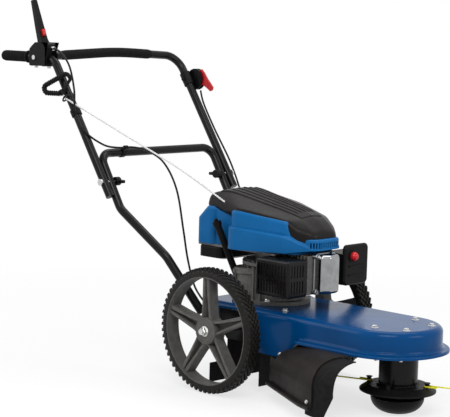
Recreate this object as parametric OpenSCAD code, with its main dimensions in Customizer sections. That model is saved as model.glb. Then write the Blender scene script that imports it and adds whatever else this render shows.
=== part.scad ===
// Wheeled string trimmer, in millimetres.
// The origin is on the ground under the spindle. +X points forward, +Y to the operator's left, +Z up.

/* [Wheels] */
// Outer diameter of the tyres
wheel_d = 356; // [330:2:380]
// Width of the tyres
tyre_w = 47; // [40:1:54]
// Height of a tyre above the rim it sits on
tyre_h = 25; // [20:1:28]
// Distance between the two tyre centres
track = 484; // [476:2:500]
// Distance from the axle to the spindle
wheelbase = 480; // [474:2:490]
// Diameter of the axle
axle_d = 16; // [12:1:20]
// Number of spokes in a wheel
spokes = 5; // [4:1:6]
// Width of a spoke
spoke_w = 24; // [20:1:28]
// Diameter of the wheel hub
hub_d = 76; // [70:2:84]

/* [Deck] */
// Height of the top of the deck above the ground
deck_top = 240; // [236:1:244]
// Width of the deck's raised middle
deck_w = 288; // [280:2:296]
// Height of the deck's raised middle above its flange
deck_h = 62; // [56:1:68]
// How far the flange stands out past the raised middle
flange_w = 20; // [18:1:24]
// Thickness of the pressed steel
sheet_t = 3; // [2:0.5:4]
// Corner radius at the front of the raised middle
nose_r = 138; // [120:2:140]
// Fillet round the top of the raised middle
deck_fillet = 18; // [12:1:24]

/* [Trimmer head] */
// Diameter of the spindle
spindle_d = 20; // [17:1:24]
// Diameter of the spindle housing
housing_d = 106; // [96:2:114]
// Diameter of the line plate
plate_d = 208; // [196:2:220]
// Height of the top of the line plate above the ground
plate_z = 78; // [74:1:82]
// Thickness of the rim of the line plate
plate_t = 10; // [8:1:12]
// Diameter of the glide dish
dish_d = 146; // [134:1:158]
// Height of the glide dish
dish_h = 43; // [38:1:48]
// Diameter of the trimmer line
line_d = 4; // [3:0.2:4.4]
// Cutting diameter
cut_d = 558; // [520:2:560]

/* [Guard] */
// Distance of the guard's inner face from the spindle
guard_r = 285; // [284:1:292]
// Height of the guard's bottom edge above the ground
guard_z = 38; // [32:1:44]
// Thickness of the guard
guard_t = 4; // [3:0.5:5]

/* [Belt drive] */
// Pitch diameter of the pulley on the engine
drive_d = 64; // [56:2:72]
// Pitch diameter of the pulley on the spindle
driven_d = 88; // [80:2:96]
// Top width of the belt
belt_w = 13; // [10:1:14]
// Height of the belt
belt_h = 8; // [6:1:9]

/* [Handle] */
// Diameter of the handle tubes
tube_d = 25.4; // [24:0.2:27]
// Wall of the handle tubes
tube_wall = 1.6; // [1.2:0.1:2.4]
// Distance between the centres of the upper legs
leg_span = 522; // [514:2:530]
// Gap between an upper leg and the lower leg beside it
leg_gap = 1.6; // [1:0.1:3]
// Diameter of the rear grip
grip_d = 32; // [30:1:35]
// Length of the rear grip
grip_l = 124; // [110:1:130]
// Diameter of the foam on the handle bar
foam_d = 30; // [29:1:34]

/* [Controls] */
// Length of the clutch lever from its pin to its tip
lever_l = 174; // [160:2:184]
// Width of the clutch lever
lever_w = 26; // [22:1:28]
// Diameter of the starter rope
rope_d = 5; // [4:0.2:5.4]
// Diameter of the control cables
cable_d = 6; // [5:0.2:6.6]

/* [Hidden] */
$fn = 48;

// Colours
blue = [0.05, 0.09, 0.45];
black = [0.06, 0.06, 0.07];
rubber = [0.10, 0.10, 0.10];
steel = [0.72, 0.73, 0.75];
alloy = [0.62, 0.62, 0.62];
rim_grey = [0.55, 0.56, 0.56];
red = [0.80, 0.06, 0.05];
yellow = [0.85, 0.88, 0.15];
white = [0.90, 0.90, 0.88];

// Clearances
overlap = 1;
run = 0.05;
slack = 0.3;
air = 1;
bend_step = 0.2;

// Wheel values
wheel_r = wheel_d / 2;
rim_r = wheel_r - tyre_h;
axle_r = axle_d / 2;
hub_r = hub_d / 2;
axle_x = -wheelbase;
axle_z = wheel_r;
wheel_in = track / 2 - tyre_w / 2;
wheel_out = track / 2 + tyre_w / 2;
lug_h = 4;
lip_h = 8;
lip_t = 4;
barrel_t = 5;
lugs = 44;

// Deck values
deck_half = deck_w / 2;
deck_front = 106;
deck_tail = 145;
deck_rear = axle_x - deck_tail;
tail_r = 25;
flange_top = deck_top - deck_h;
flange_low = flange_top - sheet_t;
flange_half = deck_half + flange_w;
flange_rear = -390;
lip_drop = 8;
deck_under = deck_top - sheet_t;
cover_t = 3;
cover_low = flange_low - cover_t;
cover_edge = 5;
cheek_low = 118;
cheek_front = -262;
flange_start = cheek_front + 30;
bracket_t = 4;

// Spindle and belt values
spindle_r = spindle_d / 2;
housing_r = housing_d / 2;
housing_low = plate_z + 6;
housing_plate = 12;
post_r = 11;
front_bolt = [64, 55];
rear_bolt = [-17, 88];
bolt_r = 4;
bearing_r = 21;
bearing_h = 12;
belt_z = 204;
crank_ahead = 20;
crank_x = axle_x + crank_ahead;
crank_r = 11;
plate_r = plate_d / 2;
plate_low = plate_z - plate_t;
dish_r = dish_d / 2;
foot_r = 20;
dish_t = 4;
stub_r = 8;
peg_r = 6;
peg_at = 82;
peg_h = 12;
line_angle = 20;
belt_angle = 20;
pivot_at = [-330, -98];
idler_r = 22;
idler_gap = 6;
idler_x = -250;
belt_lean = (driven_d - drive_d) / 2 / -crank_x;
idler_y = -(driven_d / 2 + idler_x * belt_lean + belt_h / 2 + idler_gap + idler_r);
arm_z = 184;
arm_t = 5;

// Engine values, measured from the axle
plate_top = 397;
plate_thick = 7;
case_r = 86;
case_wall = 10;
bore_r = 34;
case_top = 362;
bore_y = -8;
bore_z = 341;
fin_w = 116;
fin_h = 109;
fin_t = 4;
fins = 9;
block_x0 = 100;
block_x1 = 200;
shroud_t = 3;
shroud_top = 508;
band_top = 462;
tank_low = 350;
primer_at = [232, 91, 387];
primer_r = 13.5;
filter_x0 = 150;
filter_y0 = 56;
filter_y1 = 160;
filter_z0 = 304;
filter_z1 = 420;
guard_box = [82, -152, 284];
guard_size = [124, 76, 104];
skin = 2;
sump_at = [-30, -60];
sump_r = 42;
sump_top = 338;
tube_foot = [-58, -86, 322];
tube_head = [-92, -128, 455];
filler_d = 20;
cap_at = [-130, 150, 420];

// Handle values, measured from the axle
tube_r = tube_d / 2;
leg_y = leg_span / 2;
low_y = leg_y - tube_d - leg_gap;
fold_x = -435;
fold_z = 556;
leg_run = 0.676;
leg_foot_z = 515;
leg_foot_x = fold_x + (fold_z - leg_foot_z) * leg_run;
bar_z = 917;
bar_x = fold_x - (bar_z - fold_z) * leg_run;
rear_z = 911;
rear_x = fold_x - (rear_z - fold_z) * leg_run;
grip_end = -914;
grip_front = grip_end + grip_l;
grip_cap = 4;
cross_z = 635;
cross_x = fold_x - (cross_z - fold_z) * leg_run;
pin_x = -740;
pin_r = 4;
knob_r = 13;

// Handle routes, from the bottom up
function low_leg(s) = [
  [-118, s * (deck_half + tube_r), 200],
  [-222, s * 205, 356],
  [-392, s * low_y, 480],
  [cross_x, s * low_y, cross_z]];
low_route = concat(low_leg(-1), [for (i = [3:-1:0]) low_leg(1)[i]]);
low_bends = [60, 60, 38, 38, 60, 60];
bar_far = [bar_x, leg_y, bar_z];
bar_mid = [bar_x - 8, 0, bar_z + 13];
bar_near = [rear_x - 2, -leg_y + 6, rear_z + 7];
far_route = [[leg_foot_x, leg_y, leg_foot_z], bar_far, bar_mid, bar_near];
far_bends = [55, 1200];
near_route = [
  [leg_foot_x, -leg_y, leg_foot_z],
  [rear_x, -leg_y, rear_z],
  [grip_end + grip_cap, -leg_y, rear_z]];
near_bends = [55];

// Cord routes
cable_in = [-112, 214];
eye_at = [-590, -leg_y - 24, 795];
rope_out = [-68, -104, 512];
rope_points = [rope_out, [-220, -157, 606], [-410, -220, 702], eye_at + [3, 1, -1.5]];
clutch_points = [
  [-690, -leg_y, 940], [-640, -leg_y - 7, 932], [-585, -leg_y - 15, 892], [-557, -leg_y - 18, 822],
  [-550, -leg_y - 18, 755], [-514, -leg_y - 13, 702], [-485, 36 - leg_y, 662],
  [cross_x + 19.4, -180, cross_z + 17], [cross_x + 23.4, -120, cross_z + 16], [-407, -112, 643],
  [-336, -112, 612], [-280, -113, 538], [-246, -115, 423], [-226, -114, 340], [-196, cable_in[0], 262],
  [-deck_tail, cable_in[0], cable_in[1]]];
throttle_points = [
  [-594, leg_y + 27, 809], [-574, leg_y + 23, 768], [-520, leg_y + 21, 690], [-458, leg_y + 25, 602],
  [-425, leg_y + 25, 548], [-385, leg_y + 7, 508], [-300, 215, 475], [-150, 185, 445], [20, 170, 410],
  [105, 130, 350], [127, 95, 335]];

// Vector helpers
function unit(v) = v / norm(v);
function spline(a, b, c, d, t) =
  0.5 * ((2 * b) + (c - a) * t + (2 * a - 5 * b + 4 * c - d) * t * t + (3 * b - a - 3 * c + d) * t * t * t);
function smooth(p, n) = let (e = len(p) - 1) concat(
  [for (i = [0:e - 1]) for (k = [0:n - 1])
    spline(p[max(i - 1, 0)], p[i], p[i + 1], p[min(i + 2, e)], k / n)], [p[e]]);
function headings(p) = let (e = len(p) - 1) [for (i = [0:e]) unit(p[min(i + 1, e)] - p[max(i - 1, 0)])];
function carried(t) = [for (i = 0, n = unit(cross(t[0], [0.3, 1, 0.2])); i < len(t);
  i = i + 1, n = i < len(t) ? unit(n - (n * t[i]) * t[i]) : n) n];

// A cord swept along a smooth route as one closed skin
module cord(points, d, steps, sides) {
  p = smooth(points, steps);
  t = headings(p);
  n = carried(t);
  m = len(p);
  skin_points = [for (i = [0:m - 1]) for (k = [0:sides - 1])
    p[i] + (d / 2) * (cos(360 * k / sides) * n[i] + sin(360 * k / sides) * cross(t[i], n[i]))];
  sheath = [for (i = [0:m - 2]) for (k = [0:sides - 1]) each [
    [i * sides + k, (i + 1) * sides + k, (i + 1) * sides + (k + 1) % sides],
    [i * sides + k, (i + 1) * sides + (k + 1) % sides, i * sides + (k + 1) % sides]]];
  ends = [[for (k = [0:sides - 1]) k], [for (k = [sides - 1:-1:0]) (m - 1) * sides + k]];
  polyhedron(points = skin_points, faces = concat(sheath, ends), convexity = 6);
}

// The small angle by which a bend runs into the straights beside it
function lap(r) = 0.5 / r * 180 / PI;

// A straight round bar between two points
module rod(p, q, d) {
  v = q - p;
  translate(p) rotate([0, acos(v[2] / norm(v)), atan2(v[1], v[0])]) cylinder(h = norm(v), d = d);
}

// A bar bent along a route, with a round bend at each inner point; a bend is a little stouter than the bar
module bent_bar(pts, bends, d, stout = bend_step) {
  e = len(pts) - 1;
  dirs = [for (i = [0:e - 1]) unit(pts[i + 1] - pts[i])];
  turn = [for (i = [1:e - 1]) acos(dirs[i - 1] * dirs[i])];
  cut = [for (i = [0:e]) i == 0 || i == e ? 0 : bends[i - 1] * tan(turn[i - 1] / 2)];
  for (i = [0:e - 1]) rod(pts[i] + dirs[i] * cut[i], pts[i + 1] - dirs[i] * cut[i + 1], d);
  for (i = [1:e - 1]) {
    u = dirs[i - 1];
    n = unit(dirs[i] - (dirs[i] * u) * u);
    c = pts[i] - cut[i] * u + bends[i - 1] * n;
    z = cross(-n, u);
    multmatrix([[-n[0], u[0], z[0], c[0]], [-n[1], u[1], z[1], c[1]], [-n[2], u[2], z[2], c[2]]])
      rotate(-lap(bends[i - 1])) rotate_extrude(angle = turn[i - 1] + 2 * lap(bends[i - 1]))
        translate([bends[i - 1], 0]) circle(d = d + 2 * stout);
  }
}
function longer(pts, more) = let (e = len(pts) - 1) [for (i = [0:e])
  i == 0 ? pts[0] - more * unit(pts[1] - pts[0]) :
  i == e ? pts[e] + more * unit(pts[e] - pts[e - 1]) : pts[i]];
module bent_tube(pts, bends, d, wall) {
  difference() {
    bent_bar(pts, bends, d);
    bent_bar(longer(pts, overlap), bends, d - 2 * wall, -bend_step);
  }
}

// Shared frames
module from_axle() { translate([axle_x, 0, 0]) children(); }
module wheel_at(side) { translate([axle_x, side * track / 2, axle_z]) rotate([-side * 90, 0, 0]) children(); }
module across(x, y, z) { translate([x, y, z]) rotate([-90, 0, 0]) children(); }
module pair() { children(); mirror([0, 1, 0]) children(); }
module hex_bolt(r, l, head) {
  cylinder(r = r * 1.75, h = head, $fn = 6);
  translate([0, 0, -l]) cylinder(r = r, h = l + overlap);
}

// Wheels
module rim(side) {
  half = tyre_w / 2;
  channel_w = spoke_w - 10;
  color(rim_grey) wheel_at(side) difference() {
    union() {
      rotate_extrude() polygon([
        [rim_r - lip_h, half], [rim_r, half], [rim_r, -half], [rim_r - lip_h, -half],
        [rim_r - lip_h, lip_t - half], [rim_r - barrel_t, 2 * lip_t - half],
        [rim_r - barrel_t, half - 2 * lip_t], [rim_r - lip_h, half - lip_t]]);
      translate([0, 0, -half]) cylinder(r = hub_r, h = tyre_w - 2);
      for (k = [0:spokes - 1]) rotate(90 + 360 * k / spokes) difference() {
        translate([hub_r - 4, -spoke_w / 2, 6 - half])
          cube([rim_r - hub_r + 4 - barrel_t / 2, spoke_w, tyre_w - 10]);
        translate([hub_r + 5, -channel_w / 2, 14 - half])
          cube([rim_r - hub_r - lip_h - 8, channel_w, tyre_w]);
      }
    }
    translate([0, 0, -half - overlap]) cylinder(r = axle_r + run, h = tyre_w + 2 * overlap);
    translate([0, 0, half - 3.5]) rotate_extrude() translate([hub_r - 8, 0]) square([3, 8]);
  }
}
module tyre(side) {
  half = tyre_w / 2;
  crown = wheel_r - lug_h;
  lug_w = tyre_w / 2 - 4;
  lug_l = 14;
  color(rubber) wheel_at(side) {
    rotate_extrude() polygon([
      [rim_r, -half], [crown - 9, -half], [crown - 2, 5 - half], [crown, 12 - half],
      [crown, half - 12], [crown - 2, half - 5], [crown - 9, half], [rim_r, half]]);
    intersection() {
      cylinder(r = wheel_r, h = 2 * tyre_w, center = true);
      for (k = [0:lugs - 1]) for (row = [-1, 1])
        rotate(360 * (k + row / 4) / lugs) translate([crown - 4, -lug_l / 2, row > 0 ? 2 : -2 - lug_w])
          cube([lug_h + 6, lug_l, lug_w]);
    }
  }
}
module right_rim() rim(-1);
module left_rim() rim(1);
module right_tyre() tyre(-1);
module left_tyre() tyre(1);
module axle() {
  past = 14;
  color(steel) across(axle_x, -wheel_out - past, axle_z) cylinder(r = axle_r, h = 2 * (wheel_out + past));
}
module axle_brackets() {
  reach = deck_half + bracket_t;
  color([0.2, 0.2, 0.22]) pair() difference() {
    union() {
      across(0, deck_half, 0) linear_extrude(bracket_t) polygon([
        [axle_x - 55, 15 - deck_top], [flange_rear - 2, 15 - deck_top], [flange_rear - 2, 28 - axle_z],
        [axle_x + 25, 38 - axle_z], [axle_x - 25, 38 - axle_z], [axle_x - 55, 8 - axle_z]]);
      across(axle_x, reach - overlap, axle_z)
        cylinder(r = axle_r + 5, h = wheel_in - reach + overlap - slack);
    }
    across(axle_x, deck_half - overlap, axle_z) cylinder(r = axle_r, h = wheel_in);
  }
}

// Deck
module puck(r, z0, z1, f) {
  translate([0, 0, z0]) rotate_extrude($fn = 32) {
    square([r - f, z1 - z0]);
    square([r, z1 - z0 - f]);
    intersection() {
      translate([r - f, z1 - z0 - f]) circle(f, $fn = 32);
      square([r, z1 - z0]);
    }
  }
}
module pan(inset, z0) {
  hull() pair() {
    translate([deck_front - nose_r, deck_half - nose_r])
      puck(nose_r - inset, z0, deck_top - inset, deck_fillet - inset);
    translate([deck_rear + tail_r, deck_half - tail_r])
      puck(tail_r - inset, z0, deck_top - inset, deck_fillet - inset);
  }
}
function arc(cx, cy, r, a0) = [for (a = [a0:5:a0 + 90]) [cx + r * cos(a), cy + r * sin(a)]];
module flange_outline(inset) {
  half = flange_half - inset;
  centre = deck_front - nose_r;
  r = nose_r + flange_w - inset;
  polygon(concat([[flange_start + inset, -half]], arc(centre, nose_r - deck_half, r, -90),
    arc(centre, deck_half - nose_r, r, 0), [[flange_start + inset, half]]));
}
// The edge of a cheek where it rises over the guard, as seen from the side
rise = [
  [cheek_front - 18, -cheek_low], [cheek_front, -cheek_low - 6], [cheek_front + 10, -cheek_low - 22],
  [cheek_front + 18, -cheek_low - 42], [flange_start, -flange_top]];
function risen(dx, dy) = [for (q = rise) q + [dx, dy]];
function turned_back(list) = [for (i = [len(list) - 1:-1:0]) list[i]];
module cheek() {
  across(0, deck_half - sheet_t, 0) {
    linear_extrude(sheet_t) polygon(concat([[flange_rear, -cheek_low]], rise, [[flange_rear, -flange_top]]));
    linear_extrude(sheet_t + flange_w) polygon(concat(rise, turned_back(risen(sheet_t, sheet_t - 1))));
  }
}
module cheek_places() pair() across(cheek_front - 40, deck_half - sheet_t, cheek_low + 9) children();
module deck() {
  color(blue) difference() {
    union() {
      pan(0, flange_low);
      translate([0, 0, flange_low]) linear_extrude(sheet_t) flange_outline(0);
      translate([0, 0, flange_top - lip_drop]) linear_extrude(lip_drop) difference() {
        flange_outline(0);
        flange_outline(sheet_t);
        translate([flange_start - overlap, -deck_half]) square([2 * sheet_t, deck_w]);
      }
      pair() cheek();
    }
    pan(sheet_t, flange_low - overlap);
    across(axle_x, -deck_w, axle_z) cylinder(r = axle_r + air, h = 2 * deck_w);
    translate([crank_x, 0, deck_under - overlap]) cylinder(r = crank_r + 6, h = 2 * sheet_t);
    bolt_places() translate([0, 0, deck_under - overlap]) cylinder(r = bolt_r, h = 2 * sheet_t);
    flange_places() translate([0, 0, flange_low - overlap]) cylinder(r = bolt_r - 1, h = 2 * sheet_t);
    cheek_places() translate([0, 0, -overlap]) cylinder(r = bolt_r - 1, h = 2 * sheet_t);
    translate([pivot_at[0], pivot_at[1], deck_under - overlap]) cylinder(r = bolt_r + 1, h = 2 * sheet_t);
    translate([deck_rear - overlap, cable_in[0], cable_in[1]]) rotate([0, 90, 0])
      cylinder(d = cable_d + 1, h = 2 * sheet_t);
  }
}
module belt_cover() {
  color(black) difference() {
    translate([0, 0, cover_low]) linear_extrude(cover_t) {
      flange_outline(cover_edge);
      translate([flange_rear, sheet_t + air - deck_half])
        square([flange_start + 2 * cover_edge - flange_rear, deck_w - 2 * sheet_t - 2 * air]);
    }
    translate([0, 0, cover_low - overlap]) {
      cylinder(r = spindle_r + 20, h = 3 * cover_t);
      spindle_places() cylinder(r = post_r + air, h = 3 * cover_t);
      flange_places() cylinder(r = bolt_r - 1, h = 3 * cover_t);
    }
  }
}
module spindle_places() pair() {
  translate([front_bolt[0], front_bolt[1], 0]) children();
  translate([rear_bolt[0], rear_bolt[1], 0]) children();
}
module engine_places() for (a = [60, 180, 300])
  translate([crank_x, 0, 0]) rotate(a) translate([case_r + 8, 0, 0]) children();
module flange_places() pair() translate([deck_front - nose_r, deck_half - nose_r, 0]) for (a = [39, 64])
  rotate(a) translate([nose_r + flange_w / 2, 0, 0]) children();
module bolt_places() {
  spindle_places() children();
  engine_places() children();
}
module fasteners() {
  head = 5.5;
  color(steel) {
    spindle_places() translate([0, 0, deck_top]) hex_bolt(bolt_r, 30, head);
    engine_places() translate([0, 0, deck_top + 12]) hex_bolt(bolt_r, 20, head);
    translate([pivot_at[0], pivot_at[1], deck_top]) hex_bolt(bolt_r + 1, deck_top - arm_z + 4, head);
    translate([pivot_at[0], pivot_at[1], arm_z - 4]) cylinder(r = bolt_r + 5, h = 4 - slack);
    flange_places() translate([0, 0, cover_low]) mirror([0, 0, 1])
      hex_bolt(bolt_r - 1, sheet_t + cover_t, 6);
    cheek_places() translate([0, 0, sheet_t]) hex_bolt(bolt_r - 1, 2 * sheet_t, 4);
    cheek_places() translate([0, 0, -4]) cylinder(r = bolt_r + 2, h = 4, $fn = 6);
    guard_screws() {
      cylinder(r = screw_r, h = guard_t + flap_t + flap_gap);
      translate([0, 0, guard_t + flap_t + flap_gap]) cylinder(r = 2 * screw_r, h = 3);
    }
    pair() {
      across(axle_x, wheel_out - 2 + slack, axle_z) difference() {
        union() {
          cylinder(r = axle_r + 7, h = 2);
          cylinder(r = axle_r + 4, h = 12, $fn = 6);
        }
        translate([0, 0, -overlap]) cylinder(r = axle_r, h = 20);
      }
    }
  }
}
module rear_skirts() {
  skirt_x = flange_rear + 6;
  skirt_t = 4;
  skirt_low = 20;
  flap_x = axle_x - 45;
  flap_low = 16;
  flap_wing = 72;
  neck_top = 192;
  inner = deck_half - sheet_t;
  color(rubber) {
    translate([skirt_x, slack - inner, skirt_low])
      cube([skirt_t, 2 * (inner - slack), cover_low - skirt_low]);
    translate([flap_x, 0, 0]) rotate([90, 0, 90]) linear_extrude(skirt_t) polygon([
      [-195, flap_low], [195, flap_low], [195, flap_wing], [125, flap_wing], [125, neck_top - 14],
      [inner, neck_top - 14], [inner, neck_top], [-inner, neck_top], [-inner, neck_top - 14],
      [-125, neck_top - 14], [-125, flap_wing], [-195, flap_wing]]);
  }
}

// Guard: a straight wall past the cutting circle, then round it, with a hanging flap inside its front end
guard_turn = 242;
guard_back = 225;
guard_round = 15;
guard_base = flange_top - lip_drop - guard_t;
screw_r = 2.5;
flap_t = 3;
flap_gap = 0.6;
flap_z = 18;
function hood(out) = [
  [guard_r + out, guard_base - 66], [guard_r - 6 + out, guard_base - 40],
  [guard_r - 22 + 0.8 * out, guard_base - 18 + 0.6 * out],
  [guard_r - 50 + 0.3 * out, guard_base - 5 + out], [guard_r - 80, guard_base + out]];
module guard_skin(inner, outer, low, bead, web) {
  face = guard_r + outer;
  foot = bead > 0 ? [[face + bead, low], [face + bead, low + bead], [face, low + bead]] : [[face, low]];
  polygon(concat([[web, guard_base + inner]], [for (i = [4:-1:0]) hood(inner)[i]], [[guard_r + inner, low]],
    foot, hood(outer), [[web, guard_base + outer]]));
}
module guard_screws() for (z = [54]) rotate(guard_turn + guard_round - 4)
  translate([guard_r - flap_t - flap_gap, 0, z]) rotate([0, 90, 0]) children();
module side_guard() {
  bead = 8;
  web = 165;
  color(black) difference() {
    union() {
      rotate([90, 0, guard_turn]) linear_extrude(guard_back) guard_skin(0, guard_t, guard_z, bead, web);
      rotate(guard_turn) rotate_extrude(angle = guard_round) guard_skin(0, guard_t, guard_z, bead, web);
    }
    across(0, -flange_half - air, 0) linear_extrude(flange_w + sheet_t + 2 * air)
      polygon(concat([[flange_rear, air - cheek_low]], risen(sheet_t + 2 * air, sheet_t + air),
        [[flange_rear, -flange_top]]));
    guard_screws() cylinder(r = screw_r, h = 40);
  }
}
module guard_flap() {
  start = 250;
  span = 21;
  web = 190;
  slant = 24;
  color(rubber) difference() {
    rotate(start) rotate_extrude(angle = span) guard_skin(-flap_t - flap_gap, -flap_gap, flap_z, 0, web);
    translate([2, -guard_r, 48]) rotate([0, slant, 0]) translate([0, -100, -100]) cube([200, 300, 400]);
    guard_screws() translate([0, 0, -overlap]) cylinder(r = screw_r, h = 40);
  }
}

// Trimmer head
module spindle_housing() {
  top = cover_low;
  color(black) difference() {
    union() {
      translate([0, 0, housing_low]) cylinder(r = housing_r, h = top - housing_low);
      translate([0, 0, top - housing_plate]) linear_extrude(housing_plate) {
        polygon([[front_bolt[0], -front_bolt[1] - 14], [front_bolt[0] + 14, -front_bolt[1]],
          [front_bolt[0] + 14, front_bolt[1]], [front_bolt[0], front_bolt[1] + 14],
          [rear_bolt[0], rear_bolt[1] + 14], [rear_bolt[0] - 14, rear_bolt[1]],
          [rear_bolt[0] - 14, -rear_bolt[1]], [rear_bolt[0], -rear_bolt[1] - 14]]);
      }
      spindle_places() translate([0, 0, top - housing_plate])
        cylinder(r = post_r, h = deck_under - top + housing_plate);
    }
    translate([0, 0, housing_low + 2]) cylinder(r = bearing_r, h = bearing_h);
    translate([0, 0, housing_low + bearing_h])
      cylinder(r = bearing_r - 2, h = top - housing_low - 2 * bearing_h);
    translate([0, 0, top - bearing_h]) cylinder(r = bearing_r, h = 2 * bearing_h);
    translate([0, 0, housing_low - overlap]) cylinder(r = bearing_r - 5, h = 4);
    spindle_places() translate([0, 0, deck_under - 30]) cylinder(r = bolt_r, h = 40);
  }
}
module spindle_bearings() {
  color(steel) for (z = [housing_low + 2, cover_low - bearing_h]) translate([0, 0, z]) difference() {
    cylinder(r = bearing_r, h = bearing_h);
    translate([0, 0, -overlap]) cylinder(r = spindle_r + run, h = 3 * bearing_h);
    for (f = [-overlap, bearing_h - overlap]) translate([0, 0, f]) rotate_extrude()
      translate([spindle_r + 4, 0]) square([bearing_r - spindle_r - 8, 2 * overlap]);
  }
}
module spindle() {
  washer_z = 14;
  color(steel) {
    translate([0, 0, plate_low - 14]) cylinder(r = spindle_r, h = belt_z + 14 - plate_low + 14);
    translate([0, 0, washer_z]) cylinder(r = stub_r, h = plate_low - washer_z);
    translate([0, 0, washer_z]) cylinder(r = stub_r + 3, h = 4);
  }
}
module pulley(pitch_r, bore_r) {
  top_r = pitch_r + belt_h / 2 + 2;
  low_r = pitch_r - belt_h / 2 - 1.5;
  wide = belt_w / 2 + bend_step + slack + 2 * tan(belt_angle);
  narrow = wide - (top_r - low_r) * tan(belt_angle);
  side = wide + 3;
  translate([0, 0, belt_z]) rotate_extrude() polygon([
    [bore_r, -side], [top_r, -side], [top_r, -wide], [low_r, -narrow],
    [low_r, narrow], [top_r, wide], [top_r, side], [bore_r, side]]);
}
module driven_pulley() color(alloy) pulley(driven_d / 2, spindle_r);
module drive_pulley() color(alloy) translate([crank_x, 0, 0]) pulley(drive_d / 2, crank_r);
module belt_section(pitch_r, stout) {
  half = belt_h / 2 + stout;
  wide = belt_w / 2 + stout;
  thin = wide - belt_h * tan(belt_angle);
  translate([pitch_r, 0]) polygon([[-half, -thin], [half, -wide], [half, wide], [-half, thin]]);
}
module drive_belt() {
  big = driven_d / 2;
  small = drive_d / 2;
  gap = -crank_x;
  beta = acos((small - big) / gap);
  run_l = sqrt(gap * gap - (big - small) * (big - small));
  color(rubber) translate([0, 0, belt_z]) {
    rotate(-beta - lap(big)) rotate_extrude(angle = 2 * (beta + lap(big))) belt_section(big, bend_step);
    translate([crank_x, 0, 0]) rotate(beta - lap(small))
      rotate_extrude(angle = 360 - 2 * (beta - lap(small))) belt_section(small, bend_step);
    for (s = [-1, 1]) translate([crank_x + small * cos(beta), s * small * sin(beta), 0])
      multmatrix([[cos(beta), 0, sin(beta), 0], [s * sin(beta), 0, -s * cos(beta), 0], [0, s, 0, 0]])
        linear_extrude(run_l) belt_section(0, 0);
  }
}
module head_plate() {
  hub = 30;
  brim = 20;
  fall = 8;
  collar = 62;
  collar_h = 4;
  color(black) {
    difference() {
      union() {
        translate([0, 0, plate_z - 6]) cylinder(r = plate_r - brim - 2, h = 6);
        translate([0, 0, plate_z]) rotate_extrude() polygon([
          [plate_r - brim - 6, -6], [plate_r - 4, -plate_t - fall], [plate_r, -plate_t - fall],
          [plate_r, 4 - plate_t - fall], [plate_r - brim, 0], [plate_r - brim - 6, 0]]);
        translate([0, 0, plate_low - 8]) cylinder(r = hub, h = plate_t + 8);
        translate([0, 0, plate_z - overlap]) cylinder(r = collar, h = collar_h + overlap, $fn = 6);
      }
      translate([0, 0, plate_low - 20]) cylinder(r = spindle_r, h = 60);
    }
    for (k = [0, 90, 180, 270]) rotate(line_angle + k) translate([peg_at, 0, plate_z - overlap]) {
      cylinder(r = peg_r, h = peg_h);
      translate([0, 0, peg_h - overlap]) cylinder(r = peg_r + 3, h = 2);
    }
  }
}
module trimmer_line() {
  wrap = peg_r + line_d / 2;
  z = plate_z + line_d / 2;
  tail = 30;
  color(yellow) for (k = [0, 180]) rotate(line_angle + k) translate([0, 0, z]) {
    rod([peg_at, wrap, 0], [sqrt(cut_d * cut_d / 4 - wrap * wrap), wrap, 0], line_d);
    translate([peg_at, 0, 0]) rotate(90) rotate_extrude(angle = 180) translate([wrap, 0]) circle(d = line_d);
    rod([peg_at, -wrap, 0], [peg_at + tail, -wrap, 0], line_d);
  }
}
module glide_dish() {
  steps = [0:10:90];
  wall = [for (t = steps) [foot_r + (dish_r - foot_r) * sin(t), dish_h * (1 - cos(t))]];
  lining = [for (i = [9:-1:0]) let (t = i * 10)
    [foot_r + (dish_r - dish_t - foot_r) * sin(t), dish_t + (dish_h - dish_t) * (1 - cos(t))]];
  color(black) difference() {
    union() {
      rotate_extrude() polygon(concat([[0, 0]], wall, lining, [[0, dish_t]]));
      cylinder(r = stub_r + 9, h = dish_h - 4);
    }
    translate([0, 0, 8]) cylinder(r = stub_r + run, h = dish_h);
    translate([0, 0, 8]) cylinder(r = stub_r + 4, h = 11);
  }
}

// Belt tensioner
module idler_arm() {
  tail = [-385, -112];
  from = [pivot_at[0], pivot_at[1], arm_z];
  to = [idler_x, idler_y, arm_z];
  angle = atan2(to[1] - from[1], to[0] - from[0]);
  back = atan2(tail[1] - from[1], tail[0] - from[0]);
  arm_w = 22;
  color(steel) difference() {
    union() {
      translate(from) cylinder(r = 12, h = deck_under - arm_z - air);
      translate(from) rotate(angle) translate([0, -arm_w / 2, 0]) cube([norm(to - from), arm_w, arm_t]);
      translate(from) rotate(back) translate([0, -arm_w / 2, 0]) cube([50, arm_w, arm_t]);
      translate(to) cylinder(r = arm_w / 2, h = arm_t);
      translate(to) cylinder(r = 6, h = belt_z - arm_z + 12);
    }
    translate([from[0], from[1], arm_z - overlap]) cylinder(r = bolt_r + 1 + run, h = 80);
  }
}
module idler_pulley() {
  wide = belt_w + 6;
  color(black) translate([idler_x, idler_y, belt_z - wide / 2]) difference() {
    cylinder(r = idler_r, h = wide);
    translate([0, 0, -overlap]) cylinder(r = 6 + run, h = wide + 2 * overlap);
  }
}

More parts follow.
